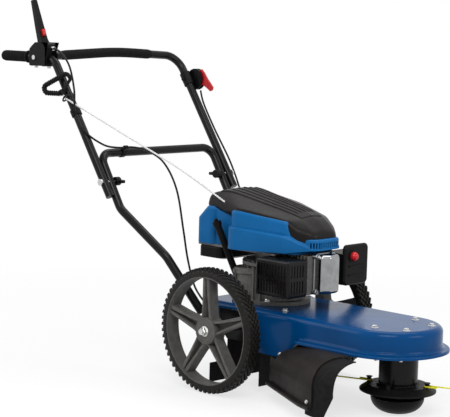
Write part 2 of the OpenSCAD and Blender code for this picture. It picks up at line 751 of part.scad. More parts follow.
// Engine
module crankcase() {
  foot = 12;
  rib_t = 5;
  rib_out = 10;
  head_y0 = bore_y - fin_w / 2;
  color(alloy) from_axle() difference() {
    union() {
      translate([crank_ahead, 0, deck_top]) cylinder(r = case_r + 18, h = foot);
      translate([crank_ahead, 0, deck_top]) cylinder(r = case_r, h = case_top - deck_top);
      translate([crank_ahead, head_y0, bore_z - fin_h / 2]) cube([block_x0 - crank_ahead, fin_w, fin_h]);
      translate([crank_ahead, 0, case_top - overlap])
        cylinder(r = 60, h = plate_top - plate_thick - case_top + 2 * overlap);
      translate([-185, -112, plate_top - plate_thick]) cube([300, 224, plate_thick]);
      for (a = [-165:15:-75]) translate([crank_ahead, 0, deck_top + foot - overlap]) rotate(a)
        translate([case_r - overlap, -rib_t / 2, 0]) cube([rib_out, rib_t, case_top - deck_top - foot]);
      translate([crank_ahead, 0, case_top - 14]) cylinder(r = case_r + 10, h = 10);
      translate([sump_at[0], sump_at[1], deck_top]) cylinder(r = sump_r, h = sump_top - deck_top);
      translate([sump_at[0], sump_at[1], sump_top - 16]) cylinder(r = sump_r + 4, h = 8);
      for (a = [-200:25:-100]) translate([sump_at[0], sump_at[1], deck_top]) rotate(a)
        translate([sump_r - overlap, -rib_t / 2, 0]) cube([5, rib_t, sump_top - deck_top - 4]);
      rod([crank_ahead - 30, -30, 310], tube_foot + 6 * unit(tube_head - tube_foot), filler_d + 10);
    }
    translate([crank_ahead, 0, deck_top - overlap])
      cylinder(r = crank_r + run, h = plate_top - deck_top + 2 * overlap);
    translate([crank_ahead, 0, deck_top + foot])
      cylinder(r = case_r - case_wall, h = case_top - deck_top - foot - case_wall);
    along_x(crank_ahead, bore_y, bore_z) cylinder(r = bore_r, h = block_x0);
    translate([block_x0, bore_y - fin_w / 2 - air, bore_z - fin_h / 2 - air])
      cube([60, fin_w + 2 * air, fin_h + 2 * air]);
    translate([-axle_x, 0, deck_top - overlap]) engine_places() cylinder(r = bolt_r, h = 30);
    filler_rod(filler_d);
  }
}
module cylinder_block() {
  step = (block_x1 - block_x0 - fin_t) / (fins - 1);
  color(alloy) from_axle() difference() {
    union() {
      along_x(block_x0, bore_y, bore_z) cylinder(r = bore_r + case_wall, h = block_x1 - block_x0);
      for (k = [0:fins - 1]) translate([block_x0 + k * step, bore_y - fin_w / 2, bore_z - fin_h / 2])
        cube([fin_t, fin_w, fin_h]);
    }
    along_x(block_x0 - overlap, bore_y, bore_z) cylinder(r = bore_r, h = block_x1 - block_x0 - case_wall);
  }
}
module along_x(x, y, z) { translate([x, y, z]) rotate([0, 90, 0]) children(); }
module rocker_cover() {
  rim_t = 7;
  deep = 46;
  half_w = 37;
  half_h = 58;
  corner = 14;
  color([0.78, 0.78, 0.78]) from_axle() translate([block_x1, bore_y, bore_z + 4]) {
    hull() for (y = [corner - half_w, half_w - corner]) for (z = [corner - half_h, half_h - corner])
      along_x(0, y, z) cylinder(r = corner, h = rim_t, $fn = 32);
    hull() for (y = [corner - half_w, half_w - corner]) for (z = [corner - half_h, half_h - corner])
      along_x(0, y, z) {
        cylinder(r = corner - 4, h = deep - 6, $fn = 32);
        cylinder(r = corner - 9, h = deep, $fn = 32);
      }
    for (y = [4 - half_w, half_w - 4]) for (z = [8 - half_h, half_h - 8]) {
      along_x(0, y, z) cylinder(r = 8, h = 16);
      along_x(15, y, z) cylinder(r = 5, h = 6, $fn = 6);
    }
  }
}
module muffler() {
  box = [106, 58, 78];
  at = [90, -140, 294];
  color([0.3, 0.28, 0.26]) from_axle() {
    difference() {
      translate(at) cube(box);
      translate(at + [skin, skin, -overlap]) cube(box - [2 * skin, 2 * skin, skin - overlap]);
    }
    translate([130, at[1] + box[1] - overlap, 305])
      cube([44, bore_y - fin_w / 2 - at[1] - box[1] + overlap, 44]);
    for (x = [at[0] + 24, at[0] + box[0] - 24]) across(x, guard_box[1] + skin, at[2] + box[2] / 2)
      cylinder(r = 6, h = at[1] - guard_box[1] - skin + overlap);
  }
}
module muffler_guard() {
  slot = [5, 34];
  pitch = [10.6, 44];
  side_pitch = 11.4;
  color(black) from_axle() translate(guard_box) difference() {
    cube(guard_size);
    translate([skin, skin, skin]) cube([guard_size[0] - 2 * skin, guard_size[1], guard_size[2] - 2 * skin]);
    for (i = [0:9]) for (k = [0:1])
      translate([12 + i * pitch[0], -overlap, 13 + k * pitch[1]]) cube([slot[0], 3 * skin, slot[1]]);
    for (i = [0:4]) for (k = [0:1])
      translate([guard_size[0] - 2 * skin, 11 + i * side_pitch, 13 + k * pitch[1]])
        cube([4 * skin, slot[0], slot[1]]);
    for (i = [0:5]) translate([16 + i * 17, 20, guard_size[2] - 2 * skin]) cube([8, 40, 4 * skin]);
  }
}
module shroud_block(grow, low, drop, f) {
  hull() pair() {
    translate([-15, 112, 0]) puck(28 + grow, low, shroud_top - drop, f);
    translate([118, 90, 0]) puck(28 + grow, low, shroud_top - 20 - drop, f);
    translate([165, 62, 0]) puck(28 + grow, low, shroud_top - 60 - drop, f);
  }
}
module shroud_band() {
  hull() pair() {
    translate([-15, 112, 0]) puck(36, plate_top, band_top, 6);
    translate([118, 90, 0]) puck(36, plate_top + 4, band_top - 12, 6);
    translate([186, 54, 0]) puck(34, plate_top + 16, band_top - 22, 6);
  }
}
tail_drop = 30;
module tail_block(inset, z0, z1, f) {
  hull() pair() {
    translate([-168, 98, 0]) puck(22 - inset, z0, z1 - tail_drop, f);
    translate([-138, 98, 0]) puck(22 - inset, z0, z1, f);
  }
}
module shroud_solid() {
  shroud_block(0, plate_top, 0, 10);
  shroud_band();
  tail_block(0, plate_top, shroud_top - 2, 10);
  translate([-140, -92, plate_top]) cube([120, 184, shroud_top - plate_top]);
}
module rope_hole() {
  way = unit(rope_points[1] - rope_out);
  rod(rope_out - 12 * way, rope_out + 60 * way, rope_d + 1);
}
module shroud() {
  top = shroud_top - shroud_t;
  color(blue) from_axle() difference() {
    shroud_solid();
    shroud_block(-shroud_t, plate_top - overlap, shroud_t, 8);
    tail_block(shroud_t, plate_top - overlap, top - 2, 8);
    translate([-150, shroud_t - 92, plate_top - overlap])
      cube([140, 184 - 2 * shroud_t, top - plate_top + overlap]);
    for (k = [-6:6]) translate([206, k * 8 - 2, plate_top + 20]) cube([40, 4, 16]);
    rope_hole();
  }
}
crest = [-85, 545];
fall_front = 0.0011;
fall_rear = 0.006;
ridge_y = 40;
ridge_r = 20;
function crown(x) = crest[1] - (x < crest[0] ? fall_rear : fall_front) * pow(x - crest[0], 2);
module dome(inset) {
  hull() pair() {
    translate([-124, 76, 0]) puck(26 - inset, 490, 520 - inset, 10);
    translate([-15, 110, 0]) puck(26 - inset, 490, 515 - inset, 8);
    translate([118, 88, 0]) puck(26 - inset, 470, 494 - inset, 8);
    translate([188, 48, 0]) puck(26 - inset, 430, 454 - inset, 12);
    for (x = [-125:30:175]) translate([x, ridge_y, crown(x) - ridge_r])
      sphere(r = ridge_r - inset, $fn = 20);
  }
}
module cover_rib() {
  ends = [-95, 70];
  high = 2.5;
  deep = 9;
  top = [for (x = [ends[0]:15:ends[1]]) [x, -crown(x) - high]];
  linear_extrude(5) polygon(concat(
    [[ends[0], deep - crown(ends[0])]], top, [[ends[1], deep - crown(ends[1])]]));
}
module top_cover() {
  color(black) from_axle() difference() {
    union() {
      dome(0);
      for (y = [-32:16:32]) across(0, y - 2.5, 0) cover_rib();
    }
    shroud_solid();
    dome(shroud_t);
    rope_hole();
  }
}
module fuel_tank() {
  neck_r = 15;
  neck_z = 377;
  color(black) from_axle() {
    hull() pair() {
      translate([-164, 94, 0]) puck(20, tank_low + 14, plate_top - plate_thick, 2);
      translate([-114, 94, 0]) puck(20, tank_low + 14, plate_top - plate_thick, 2);
      translate([-130, 60, 0]) puck(20, tank_low, tank_low + 20, 2);
    }
    across(cap_at[0], 80, neck_z) cylinder(r = 12, h = cap_at[1] - 80);
    translate([cap_at[0], cap_at[1], neck_z - 13]) cylinder(r = neck_r, h = cap_at[2] - neck_z + 13);
  }
}
module fuel_cap() {
  color(black) from_axle() translate(cap_at) {
    cylinder(r = 22, h = 16);
    for (k = [0:15]) rotate(k * 22.5) translate([20, -2, 0]) cube([4, 4, 14]);
  }
}
module filler_rod(d) rod(tube_foot + 20 * unit(tube_foot - tube_head), tube_head, d);
module filler_tube() {
  color(black) from_axle() difference() {
    filler_rod(filler_d);
    rod(tube_foot + 8 * unit(tube_foot - tube_head),
      tube_head + 5 * unit(tube_head - tube_foot), filler_d - 6);
  }
}
module dipstick() {
  u = unit(tube_head - tube_foot);
  color([0.13, 0.1, 0.08]) from_axle() {
    rod(tube_head, tube_head + 12 * u, filler_d + 6);
    rod(tube_head + 11 * u, tube_head + 20 * u, 12);
    rod(tube_head - 100 * u, tube_head + 2 * u, 6);
  }
}
module carburettor() {
  color(alloy) from_axle() {
    translate([106, bore_y + fin_w / 2, 300]) cube([filter_x0 - 106, 42, 52]);
    translate([116, 70, 351]) cylinder(r = 16, h = 22);
  }
}
module air_filter_box() {
  r = 14;
  front = primer_at[0];
  plate = 10;
  body_top = plate_top - 3;
  color(black) from_axle() difference() {
    union() {
      hull() for (y = [filter_y0 + r, filter_y1 - r]) for (z = [filter_z0 + r, filter_z1 - r])
        along_x(front - plate, y, z) {
          cylinder(r = r, h = plate - 4, $fn = 32);
          cylinder(r = r - 4, h = plate, $fn = 32);
        }
      translate([filter_x0, filter_y0 + 2, filter_z0 + 2])
        cube([front - plate + overlap - filter_x0, filter_y1 - filter_y0 - 4, body_top - filter_z0 - 2]);
      along_x(front - overlap, primer_at[1], primer_at[2]) cylinder(r = primer_r + 5, h = 4);
      for (z = [filter_z0 + 26, filter_z0 + 52]) translate([front - 4, filter_y0 + 18, z])
        cube([7, filter_y1 - filter_y0 - 36, 4]);
    }
    along_x(front - 12, primer_at[1], primer_at[2]) cylinder(r = primer_r + slack, h = 30);
    translate([filter_x0 - overlap, filter_y0 + 54, filter_z0 + 10])
      cube([front - filter_x0 - 16, filter_y1 - filter_y0 - 64, body_top - filter_z0 - 20]);
  }
}
module primer_bulb() {
  base = 7;
  color(red) from_axle() along_x(primer_at[0] - base, primer_at[1], primer_at[2]) {
    cylinder(r = primer_r, h = base + 4);
    translate([0, 0, base + 4]) difference() {
      sphere(r = primer_r);
      translate([0, 0, -2 * primer_r]) cube(4 * primer_r, center = true);
    }
  }
}
module crankshaft() {
  color(steel) translate([crank_x, 0, belt_z - 13]) cylinder(r = crank_r, h = 447 - belt_z + 13);
}
module flywheel() {
  blades = 18;
  low = plate_top + 12;
  color(alloy) translate([crank_x, 0, low]) difference() {
    union() {
      cylinder(r = 84, h = 8);
      cylinder(r = 24, h = 34);
      for (k = [0:blades - 1]) rotate(k * 360 / blades) translate([46, -1.5, 7]) cube([36, 3, 26]);
    }
    translate([0, 0, -overlap]) cylinder(r = crank_r, h = 60);
  }
}

// Handle
module lower_handle() {
  color(black) from_axle() difference() {
    bent_tube(low_route, low_bends, tube_d, tube_wall);
    across(fold_x, -leg_y - 40, fold_z) cylinder(r = bolt_r, h = 2 * leg_y + 80);
  }
}
module upper_handle() {
  color(black) from_axle() difference() {
    union() {
      bent_bar(far_route, far_bends, tube_d);
      bent_bar(near_route, near_bends, tube_d);
    }
    bent_bar(longer(far_route, overlap), far_bends, tube_d - 2 * tube_wall, -bend_step);
    bent_bar(longer(near_route, overlap), near_bends, tube_d - 2 * tube_wall, -bend_step);
    across(fold_x, -leg_y - 40, fold_z) cylinder(r = bolt_r + run, h = 2 * leg_y + 80);
    across(pin_x, -leg_y - 40, rear_z) cylinder(r = pin_r, h = 80);
  }
}
module bar_grip() {
  foam_from = 0.46;
  foam_to = 0.91;
  ends = [bar_far + foam_from * (bar_mid - bar_far), bar_mid, bar_mid + foam_to * (bar_near - bar_mid)];
  bore = tube_d + 4 * bend_step;
  color(rubber) from_axle() difference() {
    bent_bar(ends, [far_bends[1]], foam_d);
    bent_bar(longer(ends, overlap), [far_bends[1]], bore, -bend_step);
  }
}
module rear_grip() {
  rib = 1.2;
  ribs = 8;
  color(rubber) from_axle() translate([grip_end, -leg_y, rear_z]) rotate([0, 90, 0]) difference() {
    union() {
      cylinder(r = grip_d / 2, h = grip_l);
      translate([0, 0, grip_l - 5]) cylinder(r = grip_d / 2 + 3, h = 5);
      for (k = [1:ribs]) translate([0, 0, k * 12])
        rotate_extrude() translate([grip_d / 2 - rib, 0]) circle(r = 2 * rib, $fn = 16);
    }
    translate([0, 0, grip_cap]) cylinder(r = tube_r, h = grip_l);
  }
}
module handle_bolts() {
  inside = 27;
  shank = leg_y - low_y + inside + tube_r;
  color(steel) from_axle() pair() across(fold_x, low_y - inside, fold_z) {
    cylinder(r = bolt_r, h = shank);
    translate([0, 0, shank]) cylinder(r = 2.5 * bolt_r, h = 5);
  }
}
module knob(side) {
  wing = [46, 9];
  deep = 18;
  face = low_y - tube_r - slack;
  color(black) from_axle() translate([fold_x, side * face, fold_z]) rotate([side * 90, 0, 0]) difference() {
    union() {
      cylinder(r = knob_r, h = deep);
      translate([-wing[0] / 2, -wing[1] / 2, 5]) cube([wing[0], wing[1], deep]);
    }
    translate([0, 0, -overlap]) cylinder(r = bolt_r + run, h = deep - 2);
  }
}
module right_knob() knob(-1);
module left_knob() knob(1);

// Controls
module lever_frame() { from_axle() translate([pin_x, -leg_y, rear_z]) children(); }
module control_housing() {
  half = 23;
  cheek_t = 3.5;
  front = pin_x + 50;
  block = pin_x + 36;
  back = pin_x - 25;
  low = rear_z - 25;
  high = rear_z + 46;
  color(black) from_axle() difference() {
    union() {
      translate([block, -leg_y - half, low]) cube([front - block, 2 * half, high - low]);
      for (y = [-leg_y - half, -leg_y + half - cheek_t]) {
        across(0, y, 0) linear_extrude(cheek_t) polygon([
          [back, -low], [front, -low], [front, -high], [back + 26, -high], [back, -rear_z - 26]]);
      }
      for (x = [back, front - 14]) translate([x, -leg_y - half, low - 1]) cube([14, 2 * half, 8]);
    }
    along_x(back - overlap, -leg_y, rear_z) cylinder(r = tube_r, h = front - back + 2 * overlap);
    across(pin_x, -leg_y - 40, rear_z) cylinder(r = pin_r, h = 80);
    along_x(block - overlap, -leg_y, rear_z + 29) cylinder(d = cable_d + 1, h = 40);
    bent_bar(near_route, near_bends, tube_d + slack);
    bent_bar(far_route, far_bends, tube_d + slack);
  }
}
module control_screws() {
  half = 23;
  color(steel) from_axle() {
    across(pin_x, -leg_y - half - 4, rear_z) {
      cylinder(r = pin_r, h = 2 * half + 8);
      cylinder(r = pin_r + 3, h = 4);
    }
    for (x = [pin_x - 18, pin_x + 43]) translate([x, -leg_y, rear_z - 32]) cylinder(r = 6, h = 6, $fn = 6);
  }
}
module lever_side() {
  polygon([[-14, 20], [-18, 40], [-lever_l * 0.5, 36], [-lever_l, 33], [-lever_l, 21],
    [-lever_l * 0.5, 18], [-30, 18]]);
}
lever_up = 70;
fork_in = 13.5;
fork_out = 18.5;
button_at = -66;
module clutch_lever() {
  color(black) lever_frame() rotate([0, lever_up, 0]) difference() {
    union() {
      intersection() {
        rotate([90, 0, 0]) linear_extrude(2 * fork_out, center = true) lever_side();
        linear_extrude(80) polygon([
          [20, -fork_out], [20, fork_out], [-26, fork_out], [-46, lever_w / 2],
          [-lever_l - 1, lever_w / 2 - 5], [-lever_l - 1, 5 - lever_w / 2],
          [-46, -lever_w / 2], [-26, -fork_out]]);
      }
      for (y = [-fork_out, fork_in]) across(0, y, 0) {
        cylinder(r = 13, h = fork_out - fork_in);
        translate([-30, -36, 0]) cube([34, 36, fork_out - fork_in]);
      }
    }
    across(0, -40, 0) cylinder(r = pin_r + run, h = 80);
    translate([button_at - 11 - slack, -6 - slack, 24]) cube([22 + 2 * slack, 12 + 2 * slack, 40]);
  }
}
module lock_button() {
  color(red) lever_frame() rotate([0, lever_up, 0]) {
    translate([button_at - 11, -6, 30]) cube([22, 12, 14]);
    translate([button_at - 8, 0, 43]) rotate([0, 90, 0]) cylinder(r = 5, h = 16);
  }
}
throttle_z = 845;
throttle_x = fold_x - (throttle_z - fold_z) * leg_run;
disc_x = throttle_x + 18;
disc_y = leg_y + tube_r + 2;
disc_r = 34;
leaf_t = 7;
leaf_gap = 0.5;
wall_t = 6;
module leg_sleeve(side, z, r, h) {
  x = fold_x - (z - fold_z) * leg_run;
  lean = -atan(leg_run);
  from_axle() translate([x, side * leg_y, z]) rotate([0, lean, 0]) difference() {
    cylinder(r = r, h = h, center = true);
    cylinder(r = tube_r, h = h + 2 * overlap, center = true);
  }
}
module throttle_housing() {
  deep = 2 * wall_t + leaf_t;
  color(black) {
    leg_sleeve(1, throttle_z, tube_r + 4, 44);
    from_axle() {
      difference() {
        union() {
          across(disc_x, disc_y, throttle_z) cylinder(r = disc_r, h = deep);
          translate([throttle_x - 14, disc_y, throttle_z - 22]) cube([20, deep, 44]);
        }
        difference() {
          across(disc_x, disc_y + wall_t, throttle_z) cylinder(r = disc_r + 30, h = leaf_t);
          across(disc_x, disc_y, throttle_z) cylinder(r = 5, h = deep);
          translate([throttle_x - 16, disc_y, throttle_z - 40]) cube([12, deep, 80]);
        }
      }
      across(throttle_x, leg_y - tube_r - 8, throttle_z) cylinder(r = 6, h = 4.5);
    }
  }
}
module throttle_lever() {
  reach = 78;
  color(red) from_axle() across(disc_x, disc_y + wall_t + leaf_gap, throttle_z)
    linear_extrude(leaf_t - 2 * leaf_gap) difference() {
      union() {
        circle(r = 13);
        polygon([
          [-2, -13], [14, -30], [26, -33], [38, -22], [52, -4], [reach, 22],
          [reach - 2, 32], [reach - 12, 36], [50, 26], [30, 16], [0, 13]]);
      }
      circle(r = 5 + run);
    }
}
module rope_guide() {
  wire = 5;
  eye_r = 10;
  u = unit([-0.84, -0.26, 0.47]);
  x = fold_x - (eye_at[2] - fold_z) * leg_run;
  color(black) {
    from_axle() {
      translate(eye_at) rotate([0, acos(u[2]), atan2(u[1], u[0])])
        rotate_extrude() translate([eye_r, 0]) circle(d = wire);
      difference() {
        rod(eye_at + [0, 7, 6], [x, -leg_y - tube_r, eye_at[2] + 4], wire);
        rod(near_route[0], near_route[1], tube_d);
      }
    }
    leg_sleeve(-1, eye_at[2] + 4, tube_r + 1.6, 12);
  }
}
module leg_clips() {
  color(black) {
    leg_sleeve(-1, 752, tube_r + 3.5, 20);
    from_axle() difference() {
      rod([-557, -leg_y - 11.5, 754], [-547, -leg_y - 26, 755], 12);
      rod([-543, -leg_y - 17.2, 735], [-557, -leg_y - 18.8, 775], cable_d + 2.4);
    }
  }
}
module bar_clip() {
  wide = 14;
  held = [cross_x + 18.9, cross_z + 16.5];
  color(black) from_axle() translate([0, -147.5 - wide / 2, 0]) difference() {
    union() {
      across(cross_x, 0, cross_z) cylinder(r = tube_r + 2.5, h = wide);
      across(held[0], 0, held[1]) cylinder(r = cable_d / 2 + 3, h = wide);
      across(0, 0, 0) linear_extrude(wide) polygon([
        [cross_x + 4, -cross_z - 10], [held[0] - 2, -held[1] - 4],
        [held[0] + 4, -held[1] + 2], [cross_x + 12, -cross_z]]);
    }
    across(cross_x, -overlap, cross_z) cylinder(r = tube_r, h = wide + 2 * overlap);
    across(held[0], -overlap, held[1]) cylinder(r = cable_d / 2 + 0.6, h = wide + 2 * overlap);
  }
}

// Starter
bar_dir = unit([54, 53, 46]);
hang_dir = unit([29, 0, -55] - ([29, 0, -55] * bar_dir) * bar_dir);
face_dir = cross(bar_dir, hang_dir);
grip_at = eye_at - 66 * hang_dir - [0, 4, 0];
module grip_frame() {
  multmatrix([
    [bar_dir[0], hang_dir[0], face_dir[0], grip_at[0]],
    [bar_dir[1], hang_dir[1], face_dir[1], grip_at[1]],
    [bar_dir[2], hang_dir[2], face_dir[2], grip_at[2]]]) children();
}
module starter_grip() {
  half = 42;
  throat = 46;
  loop_d = 12;
  finger_d = 17;
  color(black) from_axle() grip_frame() {
    bent_bar([[-6, throat, 0], [-half, 22, 0], [-half, 0, 0], [half, 0, 0], [half, 22, 0], [6, throat, 0]],
      [9, 12, 12, 9], loop_d);
    rod([-half + 13, 0, 0], [half - 13, 0, 0], finger_d);
    for (k = [-3:3]) translate([k * 8, 0, 0]) rotate([0, 90, 0]) rotate_extrude()
      translate([finger_d / 2 - 0.6, 0]) circle(r = 1.6, $fn = 16);
    rod([0, throat - 8, 0], [0, throat + 8, 0], 16);
  }
}
module rope_tail() {
  top = grip_at + 54.8 * hang_dir;
  color(white) from_axle() cord([top, top + 0.5 * (eye_at - top), eye_at], rope_d, 2, 8);
}
module starter_rope() color(white) from_axle() cord(rope_points, rope_d, 6, 8);
module clutch_cable() color(black) from_axle() cord(clutch_points, cable_d, 5, 8);
module throttle_cable() color(black) from_axle() cord(throttle_points, cable_d, 5, 8);

// Every sub-part
deck();
belt_cover();
axle();
axle_brackets();
fasteners();
rear_skirts();
side_guard();
guard_flap();
spindle_housing();
spindle_bearings();
drive_belt();
lower_handle();
handle_bolts();
crankcase();
cylinder_block();
rocker_cover();
muffler();
muffler_guard();
shroud();
top_cover();
fuel_tank();
filler_tube();
carburettor();
air_filter_box();
clutch_cable();
throttle_cable();
starter_rope();
bar_clip();
right_rim();
right_tyre();
left_rim();
left_tyre();
upper_handle();
bar_grip();
rear_grip();
control_housing();
control_screws();
throttle_housing();
rope_guide();
leg_clips();
clutch_lever();
lock_button();
throttle_lever();
right_knob();
left_knob();
starter_grip();
rope_tail();
primer_bulb();
fuel_cap();
dipstick();
spindle();
driven_pulley();
head_plate();
trimmer_line();
glide_dish();
crankshaft();
flywheel();
drive_pulley();
idler_arm();
idler_pulley();
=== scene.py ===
"""Wheeled string trimmer: the looks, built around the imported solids."""

import math

import bmesh
import bpy
from mathutils import Matrix, Vector
from mathutils.bvhtree import BVHTree


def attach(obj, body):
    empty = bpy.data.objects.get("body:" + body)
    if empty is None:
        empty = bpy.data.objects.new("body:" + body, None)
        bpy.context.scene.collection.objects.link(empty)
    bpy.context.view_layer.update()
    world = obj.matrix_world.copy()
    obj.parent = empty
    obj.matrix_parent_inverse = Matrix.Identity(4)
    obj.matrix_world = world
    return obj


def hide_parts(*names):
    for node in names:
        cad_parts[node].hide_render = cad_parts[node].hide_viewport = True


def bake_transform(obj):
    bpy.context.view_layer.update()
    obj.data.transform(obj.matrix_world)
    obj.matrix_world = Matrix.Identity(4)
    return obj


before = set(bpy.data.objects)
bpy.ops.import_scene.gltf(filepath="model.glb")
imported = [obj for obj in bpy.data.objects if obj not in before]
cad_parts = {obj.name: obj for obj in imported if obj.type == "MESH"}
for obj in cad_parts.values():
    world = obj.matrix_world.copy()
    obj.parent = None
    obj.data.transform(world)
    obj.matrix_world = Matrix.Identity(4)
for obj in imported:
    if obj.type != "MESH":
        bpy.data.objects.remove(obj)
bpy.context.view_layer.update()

# Sizes shared by the pieces, in millimetres, as the solids have them
MM = 0.001
WHEELBASE = 480
GROUND = Vector((0, 0, 0))
AXLE = Vector((-WHEELBASE, 0, 0))
UP = Vector((0, 0, 1))
OTHER_SIDE = Vector((1, -1, 1))
WHEEL_R, RIM_R, HUB_R, TYRE_HALF = 178, 153, 38, 23.5
TRACK_HALF, AXLE_R = 242, 8
SPOKES, SPOKE_TURN, LUGS = 5, 92, 60
DECK_TOP, DECK_HALF, DECK_FRONT, DECK_REAR = 240, 144, 106, -625
DECK_FILLET, NOSE_R, TAIL_R, SHEET = 18, 138, 25, 3
FLANGE_TOP, FLANGE_W, FLANGE_REAR, LIP_DROP = 178, 20, -390, 8
CHEEK_LOW, CHEEK_FRONT = 118, -262
FLANGE_START = CHEEK_FRONT + 30
GUARD_R, GUARD_BASE, GUARD_LOW, GUARD_T = 285, 166, 38, 4
GUARD_TURN, GUARD_BACK, GUARD_ROUND = 242, 225, 15
FLAP_START, FLAP_SPAN, FLAP_LOW, FLAP_T, FLAP_SLANT = 250, 22, 18, 3, 28
TUBE_R, LEG_Y = 12.7, 261
LOW_Y = LEG_Y - 2 * TUBE_R - 1.6
FOLD_X, FOLD_Z, LEG_RUN = -435, 556, 0.676
CABLE_D, ROPE_D, CORE = 6, 5, 0.01
BAR_Z, REAR_Z, GRIP_END, GRIP_L = 917, 911, -914, 124
EYE = Vector((-590, -LEG_Y - 24, 795))


def leg_x(z):
    """How far behind the axle an upper leg is at a height."""
    return FOLD_X - (z - FOLD_Z) * LEG_RUN


# Nodes


def fill(made, values):
    """Sets a node's inputs, by name or by number."""
    for name, value in values.items():
        made.inputs[name].default_value = value
    return made


def add_node(tree, kind, values=None, **settings):
    """A new node with its settings and inputs."""
    made = tree.nodes.new(kind)
    for name, value in settings.items():
        setattr(made, name, value)
    return fill(made, values or {})


def wire(source, leaving, target, entering):
    """Joins one node's output to another's input."""
    source.id_data.links.new(source.outputs[leaving], target.inputs[entering])


# Finishes


def finish(name, dark, pale, grain, rough, bump, bump_grain, metal=0.0, coat=0.0, shine=0.5):
    """A surface whose colour and gloss drift gently, with a fine relief."""
    made = bpy.data.materials.new(name)
    made.use_nodes = True
    tree = made.node_tree
    shader = tree.nodes["Principled BSDF"]
    place = add_node(tree, "ShaderNodeTexCoord")
    low, high = 0.3, 0.7

    def noise(scale, detail):
        drift = add_node(tree, "ShaderNodeTexNoise", {"Scale": scale, "Detail": detail})
        wire(place, "Object", drift, "Vector")
        return drift

    ramp = add_node(tree, "ShaderNodeValToRGB")
    for stop, share, colour in zip(ramp.color_ramp.elements, (low, high), (dark, pale)):
        stop.position = share
        stop.color = (*colour, 1)
    wire(noise(grain, 5), "Fac", ramp, "Fac")
    wire(ramp, "Color", shader, "Base Color")
    gloss = add_node(tree, "ShaderNodeMapRange", {"From Min": low, "From Max": high})
    fill(gloss, {"To Min": rough[0], "To Max": rough[1]})
    wire(noise(grain * 2.5, 3), "Fac", gloss, "Value")
    wire(gloss, "Result", shader, "Roughness")
    relief = add_node(tree, "ShaderNodeBump", {"Strength": bump, "Distance": 0.0006})
    wire(noise(bump_grain, 2), "Fac", relief, "Height")
    wire(relief, "Normal", shader, "Normal")
    fill(shader, {"Metallic": metal, "Specular IOR Level": shine})
    fill(shader, {"Coat Weight": coat, "Coat Roughness": 0.06})
    return made


def braid(name, dark, pale, turns, lay):
    """A plaited cord: two crossing waves on the tube's own map."""
    made = finish(name, dark, pale, 700, (0.7, 0.85), 0.25, 3000)
    tree = made.node_tree
    spot = add_node(tree, "ShaderNodeTexCoord")
    cross = add_node(tree, "ShaderNodeMath", operation="MAXIMUM")
    for entering, way in enumerate((1, -1)):
        turn = add_node(tree, "ShaderNodeMapping", {"Scale": (turns * way, lay, 1)})
        wave = add_node(tree, "ShaderNodeTexWave", {"Scale": 1}, bands_direction="DIAGONAL")
        wire(spot, "UV", turn, "Vector")
        wire(turn, "Vector", wave, "Vector")
        wire(wave, "Fac", cross, entering)
    relief = fill(tree.nodes["Bump"], {"Strength": 0.5})
    wire(cross, "Value", tree.nodes["Color Ramp"], "Fac")
    wire(cross, "Value", relief, "Height")
    fill(tree.nodes["Principled BSDF"], {"Sheen Weight": 0.2})
    return made


DECK_BLUE = finish(
    "deck_blue",
    (0.0002, 0.043, 0.150), (0.0005, 0.056, 0.190), 9, (0.14, 0.20), 0.03, 900, coat=0.06, shine=0.06,
)
SHROUD_BLUE = finish(
    "shroud_blue",
    (0.003, 0.098, 0.275), (0.005, 0.116, 0.325), 14, (0.34, 0.44), 0.12, 2600, shine=0.12,
)
BLACK_PLASTIC = finish(
    "black_plastic",
    (0.004, 0.004, 0.004), (0.007, 0.006, 0.006), 30, (0.36, 0.48), 0.16, 2400, shine=0.09,
)
GUARD_PLASTIC = finish(
    "guard_plastic",
    (0.013, 0.011, 0.010), (0.019, 0.016, 0.014), 18, (0.40, 0.52), 0.14, 2200, shine=0.08,
)
COVER_PLASTIC = finish(
    "cover_plastic",
    (0.007, 0.006, 0.0055), (0.011, 0.0095, 0.009), 20, (0.30, 0.40), 0.10, 2600, shine=0.10,
)
BLACK_PAINT = finish(
    "black_paint",
    (0.003, 0.003, 0.003), (0.006, 0.006, 0.006), 25, (0.22, 0.30), 0.05, 1400, shine=0.16,
)
FOAM_BLACK = finish(
    "foam_black",
    (0.005, 0.005, 0.005), (0.010, 0.010, 0.010), 260, (0.75, 0.9), 0.5, 1500, shine=0.08,
)
RUBBER = finish(
    "rubber",
    (0.005, 0.005, 0.005), (0.010, 0.010, 0.010), 60, (0.6, 0.75), 0.3, 1100, shine=0.08,
)
TREAD_RUBBER = finish(
    "tread_rubber",
    (0.006, 0.006, 0.005), (0.012, 0.011, 0.010), 90, (0.40, 0.55), 0.3, 1300, shine=0.14,
)
RIM_GREY = finish(
    "rim_grey",
    (0.082, 0.079, 0.074), (0.112, 0.108, 0.102), 60, (0.46, 0.58), 0.45, 1300, shine=0.12,
)
ZINC = finish(
    "zinc",
    (0.50, 0.50, 0.49), (0.64, 0.64, 0.62), 120, (0.24, 0.36), 0.10, 1800, metal=1.0,
)
CAST = finish(
    "cast_alloy",
    (0.10, 0.097, 0.092), (0.16, 0.155, 0.148), 70, (0.48, 0.62), 0.45, 1500, metal=0.5,
)
POLISHED = finish(
    "polished_alloy",
    (0.24, 0.245, 0.25), (0.34, 0.345, 0.35), 45, (0.10, 0.18), 0.05, 700, metal=1.0,
)
DARK_STEEL = finish(
    "dark_steel",
    (0.03, 0.026, 0.023), (0.06, 0.05, 0.043), 60, (0.45, 0.6), 0.3, 900, metal=0.8,
)
RED = finish(
    "red_plastic",
    (0.42, 0.006, 0.010), (0.52, 0.009, 0.014), 30, (0.24, 0.34), 0.08, 1600, shine=0.3,
)
LINE_YELLOW = finish(
    "line_yellow",
    (0.78, 0.74, 0.02), (0.90, 0.86, 0.04), 120, (0.35, 0.45), 0.1, 1200, shine=0.2,
)
